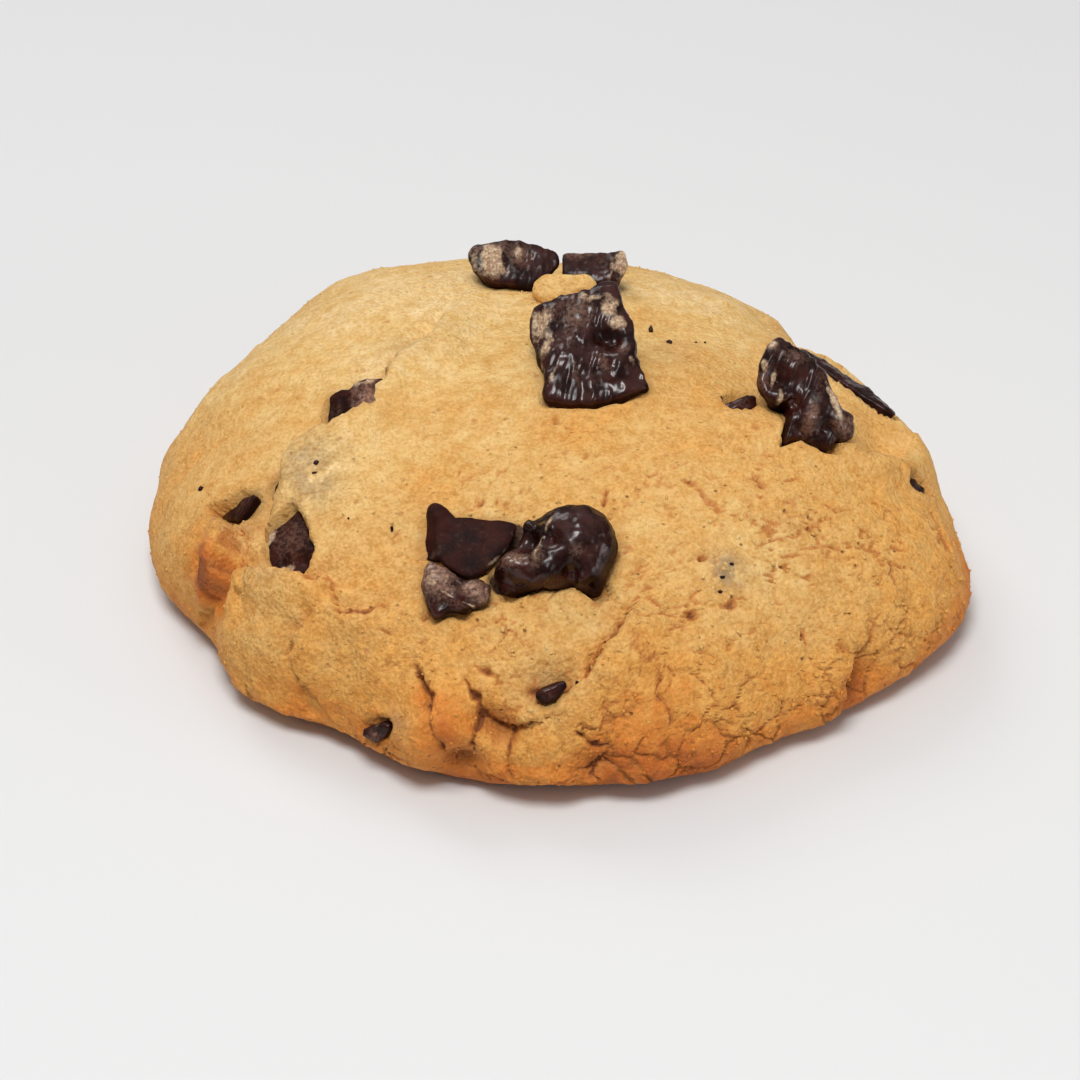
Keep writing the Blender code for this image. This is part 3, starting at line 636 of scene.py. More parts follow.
# %% Places of the cracks
# Points in mm, half width and depth in mm.
CRACKS = (
    (((-24.8, -24.2, 15.1), (-22.6, -26.2, 15.3), (-21.6, -28.3, 14.6), (-19.0, -29.3, 15.1),
      (-13.8, -29.2, 16.9)), 0.5, 0.8),
    (((-18.3, -31.0, 14.3), (-16.0, -32.8, 14.1)), 0.35, 0.4),
    (((-23.2, -27.6, 14.2), (-25.4, -28.9, 11.9), (-26.6, -30.1, 9.2), (-26.3, -31.5, 7.4),
      (-23.6, -34.1, 5.1)), 0.45, 0.6),
    (((-14.0, -35.0, 13.2), (-13.2, -36.4, 12.4), (-12.0, -39.4, 9.3), (-10.3, -41.1, 6.7)), 0.5, 0.9),
    (((-9.1, -37.3, 13.1), (-7.5, -39.7, 11.2), (-6.3, -40.7, 10.3)), 0.5, 1.0),
    (((-7.5, -35.7, 14.8), (-6.7, -37.3, 13.7), (-5.0, -38.9, 12.8)), 0.4, 0.6),
    (((9.1, -30.2, 17.7), (7.6, -32.6, 16.7), (6.4, -34.5, 15.8), (4.1, -37.2, 14.4), (2.1, -39.1, 13.0),
      (-1.0, -40.4, 11.8)), 0.6, 1.0),
    (((11.8, -26.2, 18.9), (10.9, -28.3, 18.2), (9.1, -30.2, 17.7)), 0.4, 0.5),
    (((10.5, -35.4, 14.3), (10.7, -37.7, 12.4), (12.1, -39.4, 9.6), (11.8, -40.7, 7.0),
      (12.5, -40.8, 5.4)), 0.4, 0.6),
    (((2.7, -41.9, 9.4), (3.5, -42.4, 8.4), (4.5, -42.6, 7.3), (5.4, -42.3, 7.7)), 0.5, 0.8),
    (((15.2, -15.9, 21.1), (17.2, -19.2, 20.1), (16.4, -21.0, 19.8)), 0.5, 0.5),
    (((22.4, -11.9, 20.5), (22.0, -13.6, 20.2), (21.9, -16.5, 19.6)), 0.45, 0.8),
    (((15.2, -25.0, 18.7), (16.4, -25.6, 18.3)), 0.4, 0.7),
    (((17.2, -29.3, 16.4), (18.4, -29.7, 15.9), (19.9, -28.4, 16.0)), 0.5, 0.7),
    (((22.1, -24.9, 17.0), (22.5, -26.9, 15.9), (24.1, -28.1, 14.6)), 0.35, 0.5),
    (((26.9, -21.3, 16.6), (27.1, -23.1, 15.9), (26.6, -25.6, 14.9)), 0.3, 0.4),
    (((13.5, -31.1, 16.4), (14.5, -31.2, 16.1), (15.5, -31.9, 15.4)), 0.45, 0.7),
    (((22.4, -30.3, 14.0), (20.6, -31.8, 13.8)), 0.4, 0.5),
    (((26.5, -29.0, 12.8), (26.7, -30.5, 11.4)), 0.45, 0.6),
    (((17.8, -8.9, 21.7), (18.5, -7.6, 21.8), (20.4, -10.0, 21.2), (24.1, -9.5, 20.5)), 0.35, 0.5),
    (((-14.8, -7.9, 22.0), (-13.2, -8.8, 22.2), (-13.7, -10.0, 22.0)), 0.4, 0.5),
    (((6.7, -10.2, 22.8), (9.7, -9.0, 22.7), (15.0, -8.1, 22.2)), 0.3, 0.35),
    (((5.7, -9.1, 22.9), (6.1, -11.1, 22.7), (6.0, -13.6, 22.4)), 0.3, 0.35),
    (((-37.1, -9.5, 12.9), (-36.2, -9.6, 13.6), (-35.5, -10.8, 13.6), (-34.0, -11.7, 14.3)), 0.3, 0.6),
    (((5.3, -20.0, 21.4), (6.1, -18.3, 21.7), (6.6, -17.1, 21.9)), 0.4, 0.9),
    (((-7.8, -19.7, 21.2), (-6.7, -18.6, 21.5), (-5.3, -18.2, 21.7)), 0.45, 0.9),
    (((-13.9, -31.4, 16.1), (-12.6, -31.0, 16.7)), 0.5, 0.6),
    (((-33.0, -12.7, 14.5), (-32.4, -14.9, 14.0), (-32.8, -16.8, 12.7), (-32.4, -19.0, 11.7)), 0.4, 0.7),
    (((-29.7, -12.4, 16.6), (-29.1, -14.4, 16.2), (-29.4, -16.7, 15.3)), 0.3, 0.4),
    (((-12.4, -37.5, 11.7), (-11.9, -39.0, 10.0), (-11.3, -40.3, 8.0), (-10.3, -41.2, 6.5),
      (-8.9, -41.7, 6.3)), 0.45, 0.9),
    (((-7.6, -39.7, 11.1), (-7.0, -40.8, 9.9), (-7.4, -41.6, 8.2), (-8.1, -41.9, 6.6)), 0.45, 0.8),
    (((-3.6, -41.5, 10.0), (-3.8, -42.3, 8.4), (-4.0, -43.0, 6.3), (-4.3, -43.1, 4.1)), 0.4, 0.7),
    (((3.2, -42.2, 8.7), (4.2, -42.5, 7.8), (5.0, -42.5, 7.5), (5.8, -42.1, 7.9)), 0.4, 0.7),
    (((10.8, -35.6, 14.1), (10.8, -37.9, 12.0), (12.0, -39.3, 9.8), (11.8, -40.5, 7.6)), 0.35, 0.6),
    (((-27.0, -1.0, 19.8), (-24.7, -4.9, 20.2), (-23.0, -6.5, 20.4)), 0.4, 0.5),
    (((10.1, -15.0, 21.9), (11.2, -14.6, 21.9), (11.9, -16.3, 21.5)), 0.3, 0.5),
    (((14.9, -14.3, 21.4), (15.9, -17.1, 20.8), (17.5, -18.4, 20.2)), 0.35, 0.6),
    (((21.1, -3.5, 21.6), (21.7, -6.8, 21.3), (22.6, -7.9, 21.0)), 0.35, 0.6),
)
CRACK_DEEPER = 1.2
# Cell and amount in mm, and seed, of each size of noise that shakes the cracks.
CRACK_SHAKE = ((1.9, 0.6, 61), (0.8, 0.30, 71), (0.42, 0.15, 77))
# The groove at the foot of a fold: its half width in mm, and its depth as a share of the fold's step.
FOOT_HALF_WIDTH = 0.5
FOOT_DEPTH = 0.22
# Depth in mm of a groove that takes the full painted shade of a crack.
FULL_FISSURE_SHADE = 0.7


# %% Cracks on the crust
def crack_depth(points, normals, crack, shaken):
    """A V of the given half width, opened and closed along its line by noise, and 0 past both ends."""
    corners, half_width, depth = crack
    line = smooth_line(corners)
    near = around(points, line, 2.0 * MM)
    groove = np.zeros(len(points))
    distance, share = nearest_on_line(shaken[near], normals[near], line, True)
    opening = 0.75 + 0.45 * lattice_noise(points[near], 1.1 * MM, 81)
    ends = np.sqrt(np.clip(4.0 * share * (1.0 - share), 0.0, 1.0))
    width = half_width * MM * np.clip(opening * (0.4 + 0.6 * ends), 0.12, 1.4)
    wedge = np.clip(1.0 - np.abs(distance) / width, 0.0, 1.0)
    groove[near] = CRACK_DEEPER * depth * opening * (0.3 + 0.7 * ends) * wedge
    return groove


def shaken_points(points):
    """Each point moved sideways by three sizes of noise."""
    moved = points.copy()
    for cell, amount, seed in CRACK_SHAKE:
        for axis in range(3):
            moved[:, axis] += amount * MM * lattice_noise(points, cell * MM, seed + axis)
    return moved


# %% [markdown]
# ## The crust
# Last come crumbs and grains too small to name. They are four sizes of noise, strongest on the split
# front and weakest on the smooth back. Each point also remembers how toasted it is, how deep in a
# crack, and how near to chocolate, for the colours. The darker front is partly painted shade, and
# the darkening in cracks, in pits and at the seams with chocolate is painted shade.

# %% Cells of the crackled front
# Cell, depth and half width in mm, and seed, of each size of crackle.
CRACKLE_CELLS = ((4.6, 0.44, 0.30, 91), (2.4, 0.30, 0.21, 95))


def cell_borders(points, cell, seed):
    """Second nearest less nearest distance to one random centre in each cube of a lattice."""
    side = 24
    centres = np.random.default_rng(seed).uniform(0.0, 1.0, (side, side, side, 3))
    scaled = points / cell
    low = np.floor(scaled).astype(int)
    nearest, second = (np.full(len(points), 9.0) for _ in range(2))
    for offset in itertools.product((-1, 0, 1), repeat=3):
        at = low + offset
        place = centres[tuple((at % side).T)] + at
        apart = np.linalg.norm(scaled - place, axis=1)
        second = np.minimum(second, np.maximum(nearest, apart))
        nearest = np.minimum(nearest, apart)
    return (second - nearest) * cell


def crackle_groove(points, shaken, share):
    """Grooves in mm on the borders of two sizes of cell, open only where a broad noise lets them."""
    groove = np.zeros(len(points))
    for cell, depth, width, seed in CRACKLE_CELLS:
        patches = lattice_noise(points, 1.3 * cell * MM, seed + 1)
        gate = smooth_step(-0.05, 0.55, patches + 0.75 * share - 0.62)
        border = cell_borders(shaken, cell * MM, seed) / MM
        groove = np.maximum(groove, depth * gate * (1.0 - smooth_step(0.0, width, border)))
    return groove


# %% Crust fields
# Cell and height in mm, and seed, of each size of crumbly noise.
CRUMB_SWELLS = ((3.4, 0.20, 24), (1.9, 0.16, 21), (1.05, 0.10, 22), (0.6, 0.07, 23))
# Toast of the crown, and what the rim, the side and the front add to it. The front's share is partly
# painted shade: darker towards the camera side.
CROWN_TOAST = 0.14
RIM_TOAST = 0.22
SIDE_TOAST = 0.20
FRONT_TOAST_AND_SHADE = 0.20
# Centre, radius and strength of each browned place, and then of each pale and each grey one. Some browned
# places are partly painted shade and some pale ones partly painted light, as marked.
TOASTED_AND_SHADED = (
    # Painted shade in part: these two lie in the hollow at the foot of the left fold.
    ((-35.2, -16.2, 10.4), 2.4, 0.5),
    ((-34.6, -18.4, 9.2), 2.6, 0.4),
    ((-36.5, -13.0, 11.5), 4.0, 0.2),
    ((-10.5, -40.6, 9.0), 2.2, 0.3),
    ((-12.6, -38.4, 11.0), 2.4, 0.18),
    ((43.0, -10.0, 6.0), 8.0, 0.18),
    ((10.0, -41.0, 8.0), 9.0, 0.16),
    # Painted shade in part: this browned place lies in the hollow on the lower right.
    ((32.0, -29.5, 5.0), 2.4, 0.35),
    ((-13.0, -16.0, 21.0), 3.4, 0.13),
    ((2.2, -8.0, 23.0), 4.0, 0.15),
    ((-36.0, 2.0, 14.0), 6.0, 0.15),
    ((15.0, 0.0, 23.0), 14.0, 0.16),
    ((36.0, -10.0, 13.0), 12.0, 0.14),
)
PALE_AND_LIT = (
    ((-22.0, -12.5, 20.5), 6.5, 0.10),
    ((-17.0, 20.0, 20.0), 14.0, 0.12),
    ((1.8, 23.0, 23.0), 4.0, -0.25),
    ((18.0, -24.0, 18.5), 9.0, 0.10),
    ((0.0, -34.0, 16.0), 6.0, 0.12),
    # Painted light in part: the next three lift the lower right and the low front, which the lamps leave
    # dim.
    ((37.2, -23.3, 7.0), 8.0, 0.05),
    ((24.1, -22.7, 17.2), 6.0, 0.08),
    ((1.1, -39.9, 12.3), 4.0, 0.14),
    ((-30.3, -27.1, 7.3), 6.0, 0.10),
    ((17.0, 26.0, 19.0), 9.0, 0.08),
)
SMUDGES = (
    ((18.2, -26.0, 17.8), 2.0, 0.9),
    ((-0.4, -38.4, 13.4), 2.4, 0.3),
    ((-25.6, -10.5, 19.4), 3.2, 0.55),
    ((-24.0, -14.5, 18.6), 2.6, 0.45),
    ((-27.8, -21.8, 13.6), 2.2, 0.6),
    ((-15.2, 8.5, 22.2), 3.0, 0.35),
    ((-15.8, -38.6, 7.8), 1.6, 0.6),
    ((31.0, 1.0, 19.0), 3.0, 0.35),
    ((25.0, -20.0, 18.0), 1.6, 0.25),
    ((-33.4, -13.5, 13.6), 2.6, 0.4),
    ((12.6, 8.0, 22.6), 3.4, 0.2),
)
# Hollows darkened as deep cracks are: painted shade. Then the dark gaps between the front chunks: painted
# shade over chocolate smeared on the dough.
SHADED_PITS = (
    ((-4.8, -41.8, 9.2), 1.7, 0.9),
    ((-6.9, -41.0, 10.4), 1.3, 1.0),
    ((-9.3, -42.2, 4.8), 1.9, 1.0),
    ((4.8, -43.2, 5.0), 1.5, 0.9),
    ((-1.6, -39.2, 12.6), 0.9, 0.9),
    ((32.4, -29.4, 5.0), 1.8, 0.7),
    ((-34.4, -19.2, 8.8), 1.2, 0.5),
)
SMEARS_AND_SHADE = (
    ((-3.6, -22.6, 20.8), 1.5, 1.0),
    ((-3.2, -25.2, 20.0), 1.5, 1.0),
    ((-9.0, -27.0, 19.0), 1.8, 0.9),
    ((-4.9, -28.0, 19.1), 1.6, 1.0),
    ((-3.8, -24.0, 20.5), 1.3, 1.0),
    ((-11.6, -19.0, 20.6), 1.0, 0.5),
    ((7.4, -22.4, 20.6), 1.4, 0.4),
)


def spots(points, table):
    """The sum of the table's bells, each times its strength."""
    return sum(strength * bell(points, centre, radius) for centre, radius, strength in table)


def toast_and_shade_of(points):
    """Browner to the rim and the side, and darker to the front as partly painted shade, plus a bell for
    each browned or shaded place, less the pale or lit.
    """
    rim = 1.0 - smooth_step(1.0 * MM, 10.0 * MM, points[:, 2])
    side = 1.0 - smooth_step(4.0 * MM, 18.0 * MM, points[:, 2])
    # Painted shade in part: the crust darkens towards the front.
    front = smooth_step(-12.0 * MM, 38.0 * MM, -points[:, 1])
    toast_and_shade = CROWN_TOAST + RIM_TOAST * rim + SIDE_TOAST * side + FRONT_TOAST_AND_SHADE * front
    return toast_and_shade + spots(points, TOASTED_AND_SHADED) - spots(points, PALE_AND_LIT)


def crackle_of(points):
    """Where fine splits show: the front half, and most on its right."""
    front = smooth_step(-2.0 * MM, 22.0 * MM, -points[:, 1])
    right = smooth_step(-26.0 * MM, 6.0 * MM, points[:, 0])
    return np.clip(front * (0.3 + 0.7 * right), 0.0, 1.0)


def crust_shape(angle, station):
    """Points of the crust and their fields: plain dome, relief, cracks, crumbs, then the chunks' seats."""
    plain = plain_dough(angle, station)
    normals = outward(plain)
    fade = smooth_step(0.3 * MM, 2.2 * MM, plain[:, 2])
    shaken = shaken_points(plain)
    groove = np.zeros(len(plain))
    feet = [(corners, FOOT_HALF_WIDTH, FOOT_DEPTH * step) for corners, step, _, _ in FOLDS]
    for crack in (*CRACKS, *feet):
        groove = np.maximum(groove, crack_depth(plain, normals, crack, shaken))
    crackle = crackle_of(plain)
    groove = np.maximum(groove, crackle_groove(plain, shaken, crackle))
    crumbs = sum(height * MM * lattice_noise(plain, cell * MM, seed) for cell, height, seed in CRUMB_SWELLS)
    crumbs *= 0.6 + 0.6 * crackle
    lift = relief(plain, shaken, normals) + fade * (crumbs - groove * MM)
    points = plain + normals * lift[:, None]
    # The dough darkens near each block: painted shade at the seam, with a little brown stain.
    stain_and_shade = np.zeros(len(plain))
    for name, shape in CHUNKS.items():
        push, lip, near = seat(points, name)
        out = facing_axes(*shape["facing"])[2]
        points = points - push[:, None] * out + (lip * fade)[:, None] * normals
        stain_and_shade = np.maximum(stain_and_shade, near)
    points[:, 2] = np.maximum(points[:, 2], 0.0)
    fields = {
        "toast_and_shade": toast_and_shade_of(plain),
        # Painted shade: darker with the depth of cracks, fold feet and crackle, and in the shaded pits.
        "fissure_shade": np.clip(groove * fade / FULL_FISSURE_SHADE + spots(plain, SHADED_PITS), 0.0, 1.0),
        "stain_and_shade": np.clip(stain_and_shade, 0.0, 1.0),
        # Painted shade in the gaps between the front chunks, over smeared chocolate.
        "smear_and_shade": np.clip(spots(plain, SMEARS_AND_SHADE), 0.0, 1.0),
        "smudge": spots(plain, SMUDGES),
        "crackle": crackle * fade,
    }
    return points, fields


# %% Build the crust
def make_piece(name, points, faces, fields, node=None):
    """A smooth mesh with one number per point for each field, riding on the one body."""
    mesh = bpy.data.meshes.new(name)
    mesh.from_pydata(points.tolist(), [], faces)
    mesh.shade_smooth()
    for field, values in fields.items():
        mesh.attributes.new(field, "FLOAT", "POINT").data.foreach_set("value", values.astype(np.float32))
    piece = new_object(name, mesh)
    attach(piece, "root")
    if node:
        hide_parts(node)
    return piece


angle, station, crust_faces = dough_grid()
crust_points, crust_fields = crust_shape(angle, station)
crust = make_piece("dough_crust", crust_points, crust_faces, crust_fields, "dough")
print("crust faces:", len(crust_faces), "top at", round(crust_points[:, 2].max() / MM, 1), "mm")

# %% [markdown]
# ## Skins of the chocolate
# Chocolate that melted and set again shows dents, ribs where it was drawn out, and a thin film of dough
# where the crust tore off it. The dents and ribs are added along the block's own normals, which come
# from the differences between neighbouring grid points.

# %% Marks on the blocks
# In the face's own mm. Dents: place, radius, height. Ribs: direction in degrees, spacing, depth.
# Film and bloom: place, the two radii, direction in degrees and strength.
MARKS = {
    "chunk_front_flat": dict(
        dents=(((-3.6, 3.6), 1.2, 0.5), ((1.5, 0.5), 2.2, -0.15), ((-4.4, -0.6), 1.0, -0.4)),
        ribs=(20, 2.2, 0.03),
        film=(((3.6, -1.0), 0.28, 2.2, -45, 0.8), ((-4.9, 1.6), 0.4, 1.0, 0, 0.8),
              ((4.6, 1.4), 0.3, 0.8, 0, 0.6)),
        bloom=(((-3.4, -0.9), 1.6, 1.0, 40, 0.3), ((0.5, 0.5), 4.5, 3.5, 0, 0.2)),
        matte=1.0),
    "chunk_front_glossy": dict(
        dents=(((-4.4, 0.8), 1.3, -1.6), ((-3.2, -0.8), 0.6, 0.9), ((-6.2, -1.4), 1.2, 0.5),
               ((-5.8, -4.2), 1.5, -1.0), ((1.6, 0.8), 2.3, 0.6), ((0.4, -3.0), 0.9, -0.7),
               ((-2.0, -2.6), 0.8, 0.4), ((2.9, -4.6), 1.3, -1.2), ((-1.7, 0.9), 0.8, -0.9),
               ((-2.4, 2.2), 0.5, 0.5), ((-3.6, 3.2), 0.8, -0.5), ((1.2, -3.4), 0.6, 0.4)),
        ribs=(65, 2.4, 0.07),
        film=(((-3.9, 2.3), 0.22, 0.7, 40, 0.85), ((-2.2, 2.1), 0.2, 1.0, -25, 0.85),
              ((-3.0, 0.6), 0.2, 1.0, -20, 0.8), ((-3.3, -0.9), 0.35, 1.1, 0, 0.65),
              ((-6.0, -1.4), 1.3, 0.5, 20, 0.6)),
        bloom=(((0.9, -0.4), 1.1, 0.9, 20, 0.5), ((0.4, 3.2), 2.0, 0.8, 0, 0.15),
               ((-5.6, -1.2), 1.7, 0.9, 10, 1.1), ((-3.3, -0.9), 0.7, 1.2, 0, 1.1)),
        matte=0.0),
    "chunk_front_pale": dict(
        dents=(((-0.6, 0.3), 1.0, -0.7), ((1.7, -0.2), 1.2, 0.5), ((-2.3, 1.0), 1.4, 0.5),
               ((-1.4, -1.6), 1.0, -0.5), ((0.8, -2.2), 0.8, -0.4)),
        ribs=(15, 1.4, 0.12),
        film=(((-1.2, -0.6), 1.5, 0.22, -28, 0.85), ((1.0, -1.6), 0.9, 0.2, -20, 0.8),
              ((-2.2, 1.3), 1.7, 1.9, 20, 0.53), ((1.8, -0.2), 1.4, 0.9, -15, 0.5)),
        bloom=(((-2.2, 1.3), 1.9, 2.1, 20, 1.9), ((1.8, -0.2), 1.6, 1.0, -15, 1.9),
               ((-0.4, -1.5), 1.8, 0.5, -20, 0.5)),
        matte=0.3),
    "chunk_crown": dict(
        dents=(((2.0, 1.2), 1.5, -1.3), ((3.2, -1.6), 1.5, 0.8), ((0.9, -2.6), 1.0, -0.5),
               ((-2.6, -0.6), 1.6, 0.45), ((1.2, 0.2), 0.8, 0.5), ((4.4, 0.6), 1.0, 0.4),
               ((-0.6, 1.6), 1.2, 0.4), ((5.6, -3.8), 1.2, -0.6), ((2.4, -3.6), 1.0, 0.4)),
        ribs=(80, 1.7, 0.26),
        film=(((-5.4, 3.6), 1.1, 2.4, -8, 1.0), ((-4.9, 0.0), 0.8, 2.4, -12, 0.9),
              ((-3.9, -3.0), 0.3, 1.6, -20, 0.7), ((2.0, 5.4), 1.3, 1.6, 0, 1.0),
              ((3.2, 3.4), 1.2, 0.9, 20, 0.95), ((4.4, -1.4), 0.6, 1.0, 30, 0.55),
              ((0.6, 6.6), 1.6, 0.8, 0, 0.8)),
        bloom=(((-1.6, 4.4), 2.4, 2.2, 0, 0.7), ((1.6, -2.2), 0.6, 1.4, 20, 0.8),
               ((-2.4, 1.6), 0.8, 1.6, 0, 0.45), ((-1.5, -3.4), 0.5, 2.0, 15, 0.5),
               ((3.6, -0.2), 0.9, 0.9, 0, 0.6), ((0.4, -4.2), 1.4, 1.2, 0, 0.25)),
        matte=0.0),
    "chunk_right": dict(
        dents=(((-3.4, 1.6), 1.1, -1.1), ((-2.0, 3.6), 1.5, 0.5), ((1.0, -2.6), 1.1, 0.6),
               ((-1.2, -1.0), 0.8, -0.8), ((2.4, -3.4), 1.0, -0.9), ((4.2, -2.6), 1.2, 0.4),
               ((-0.6, -3.8), 0.9, -0.5)),
        ribs=(74, 1.9, 0.34),
        film=(((-4.0, 1.6), 0.35, 1.6, -8, 1.0), ((-3.0, -0.2), 0.5, 1.3, 5, 0.95),
              ((3.2, -0.4), 0.4, 2.4, 25, 0.95), ((-4.4, 5.6), 0.7, 0.7, 0, 0.9),
              ((-5.0, 3.0), 0.4, 1.0, 0, 0.7)),
        bloom=(((0.6, -2.4), 0.8, 2.0, -8, 0.95), ((4.4, -2.6), 1.2, 1.5, 20, 1.0),
               ((-1.6, 4.4), 1.8, 1.0, 0, 0.7), ((1.4, 1.2), 0.8, 2.6, -10, 0.35),
               ((-4.9, 1.2), 0.7, 1.2, 0, 0.6)),
        matte=0.15),
    "chunk_back_left": dict(
        dents=(((-2.0, 1.4), 1.6, 0.4), ((1.6, 0.6), 1.2, -0.5)),
        ribs=(85, 2.0, 0.2),
        film=(((-2.6, 0.6), 1.9, 2.4, 10, 1.0), ((0.4, 1.8), 0.8, 1.2, 0, 0.6)),
        bloom=(((0.6, 1.4), 1.6, 1.6, 0, 0.8), ((-2.5, 2.4), 2.5, 1.0, 0, 0.8)),
        matte=0.4),
    "chunk_back_right": dict(
        dents=(((-1.8, 1.4), 1.4, -0.3), ((3.2, 0.6), 1.2, 0.3)),
        ribs=(85, 2.2, 0.16),
        film=(((3.6, 0.8), 1.5, 3.0, 0, 1.0), ((1.8, -1.5), 0.5, 0.8, 0, 0.5)),
        bloom=(((-2.0, 2.2), 2.4, 0.9, 0, 0.9), ((1.2, 0.5), 1.5, 1.5, 0, 0.3)),
        matte=0.4),
    "chunk_left_back": dict(
        dents=(((0.2, 0.6), 0.5, -0.35),),
        ribs=(70, 1.3, 0.08),
        film=(((1.6, 2.8), 1.8, 0.4, 10, 0.8), ((3.4, 2.2), 0.7, 1.2, -30, 0.7)),
        bloom=(((1.6, 0.6), 1.7, 3.2, -10, 1.35), ((-2.6, 0.2), 1.4, 2.4, 0, 0.35)),
        matte=0.7),
    "chunk_left": dict(
        dents=(((0.4, -1.6), 1.0, 0.15), ((1.0, -3.2), 1.2, -0.9), ((-1.4, -2.4), 1.0, -0.6)),
        ribs=(35, 1.0, 0.03),
        film=(((-1.8, -3.0), 1.3, 1.1, -20, 1.0), ((-2.6, 1.6), 1.1, 0.7, 30, 0.9)),
        bloom=(((0.0, 0.5), 3.0, 3.0, 0, 0.5),),
        matte=0.9),
    "chunk_rim": dict(
        dents=(((0.2, 0.2), 0.4, -0.4),), ribs=(60, 0.9, 0.08), film=(((1.2, 0.6), 0.5, 0.3, 0, 0.7),),
        bloom=(((-0.4, 0.2), 1.0, 0.8, 0, 0.8),), matte=0.4),
}
PLAIN_MARKS = dict(
    dents=(), ribs=(40, 1.1, 0.08), film=(), bloom=(((0.0, 0.0), 1.0, 1.0, 0, 0.3),), matte=0.4)
FILM_THICKNESS = 0.06
RIB_LENGTH = 5.0
# Cell, height and number of each size of roughness on a block, in mm.
BLOCK_SWELLS = ((2.6, 0.20, 1), (1.1, 0.09, 2), (0.45, 0.035, 3))
KNOB_TOAST = 0.2
FINE_BLOCK = (240, 150)
SMALL_BLOCK = (96, 56)
SMALL_REACH = 4.2


# %% Skin of one block
def block_normals(grid):
    """Cross product of the differences round and along the grid, each taken between the two neighbours."""
    around_it = np.roll(grid, -1, axis=1) - np.roll(grid, 1, axis=1)
    along_it = np.gradient(grid, axis=0)
    normal = np.cross(along_it, around_it)
    return normal / np.maximum(np.linalg.norm(normal, axis=2, keepdims=True), 1e-12)


def patch(place, spots):
    """The largest of the spots: strength times exp(-(x/a)² - (y/b)²) in each spot's own axes."""
    total = np.zeros(len(place))
    for (across, up), wide, tall, turn, strength in spots:
        c, s = math.cos(math.radians(turn)), math.sin(math.radians(turn))
        x, y = place[:, 0] - across, place[:, 1] - up
        square = ((c * x + s * y) / wide) ** 2 + ((c * y - s * x) / tall) ** 2
        total = np.maximum(total, strength * np.exp(-square))
    return total


def block_skin(name, shape, columns, rows):
    """Points in the face's axes in mm, and the fields of the finish."""
    marks = MARKS.get(name, PLAIN_MARKS)
    plain = block_points(shape, *block_grid(columns, rows)) / MM
    body = plain[:-2].reshape(rows - 1, columns, 3)
    normals = np.vstack([block_normals(body).reshape(-1, 3), (0, 0, 1), (0, 0, -1)])
    seed = 100 * shape["seed"]
    lift = sum(height * lattice_noise(plain, cell, seed + number) for cell, height, number in BLOCK_SWELLS)
    turn, spacing, depth = marks["ribs"]
    c, s = math.cos(math.radians(turn)), math.sin(math.radians(turn))
    bent = plain + 0.5 * lattice_noise(plain, 3.0, seed + 4)[:, None]
    across = bent[:, 0] * s - bent[:, 1] * c
    along = (bent[:, 0] * c + bent[:, 1] * s) / RIB_LENGTH
    drawn = np.stack([across, along, bent[:, 2] / 2], axis=1)
    rib = lattice_noise(drawn, 0.55 * spacing, seed + 5)
    rib += 0.5 * lattice_noise(drawn, 0.24 * spacing, seed + 6)
    lift += depth * rib
    front = smooth_step(-1.6, 0.2, plain[:, 2])
    for (x, y), radius, height in marks["dents"]:
        lift += front * height * np.exp(-((plain[:, 0] - x) ** 2 + (plain[:, 1] - y) ** 2) / radius**2)
    worn = 0.28 * layered_noise(plain, 1.0, seed + 6)
    covered = patch(plain, marks["film"])
    film = np.clip(covered * front + worn * (covered > 0.12), 0.0, 1.0)
    lift += FILM_THICKNESS * smooth_step(0.35, 0.65, film)
    bloom = np.clip(patch(plain, marks["bloom"]) * front + 0.12 + 0.2 * worn, 0.0, 1.5)
    dull = 1.0 - smooth_step(0.1, 0.6, normals[:, 2])
    fields = {
        "film": film,
        "bloom": bloom,
        "rib": 0.5 + 0.5 * np.clip(rib, -1.0, 1.0),
        "matte": np.maximum(marks["matte"], dull),
        "toast_and_shade": np.full(len(plain), KNOB_TOAST),
    }
    return plain + normals * lift[:, None], fields


# %% Build the chunks
def fitted(points, low, high):
    """Stretches the points so that their box is the given one."""
    least, most = points.min(axis=0), points.max(axis=0)
    return low + (points - least) / (most - least) * (high - low)


def chunk_piece(name):
    """The finer skin of one packed block, stretched to its box and standing in for it."""
    shape = BLOCKS[name]
    small = max(math.hypot(*corner) for corner in shape["corners"]) < SMALL_REACH
    columns, rows = SMALL_BLOCK if small else FINE_BLOCK
    points, fields = block_skin(name, shape, columns, rows)
    turned = points @ facing_axes(*shape["facing"])
    low, high = (np.array(corner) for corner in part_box(name))
    label = name.replace("chunk", "chocolate").replace("dough", "crust")
    piece = make_piece(label, fitted(turned, low, high), block_faces(columns, rows), fields, name)
    return piece


chunks = [chunk_piece(name) for name in CHUNKS]
knobs = [chunk_piece(name) for name in KNOBS]
print("chunks:", len(chunks), "with", sum(len(c.data.polygons) for c in chunks), "faces")

# %% [markdown]
# ## Node groups for the finishes
# The crust, the crumbs and the film of dough on the chocolate share one grain. A node group holds it
# once, with named inputs, so that each finish sets its own size and strength.


# %% Helpers for materials
def new_group(name, inputs, outputs):
    """A shader node group with float inputs and the given outputs."""
    tree = bpy.data.node_groups.new(name, "ShaderNodeTree")
    tree.interface.new_socket("Place", in_out="INPUT", socket_type="NodeSocketVector")
    for label, value in inputs.items():
        socket = tree.interface.new_socket(label, in_out="INPUT", socket_type="NodeSocketFloat")
        socket.default_value = value
    for label in outputs:
        tree.interface.new_socket(label, in_out="OUTPUT", socket_type="NodeSocketFloat")
    return tree, tree.nodes.new("NodeGroupInput"), tree.nodes.new("NodeGroupOutput")


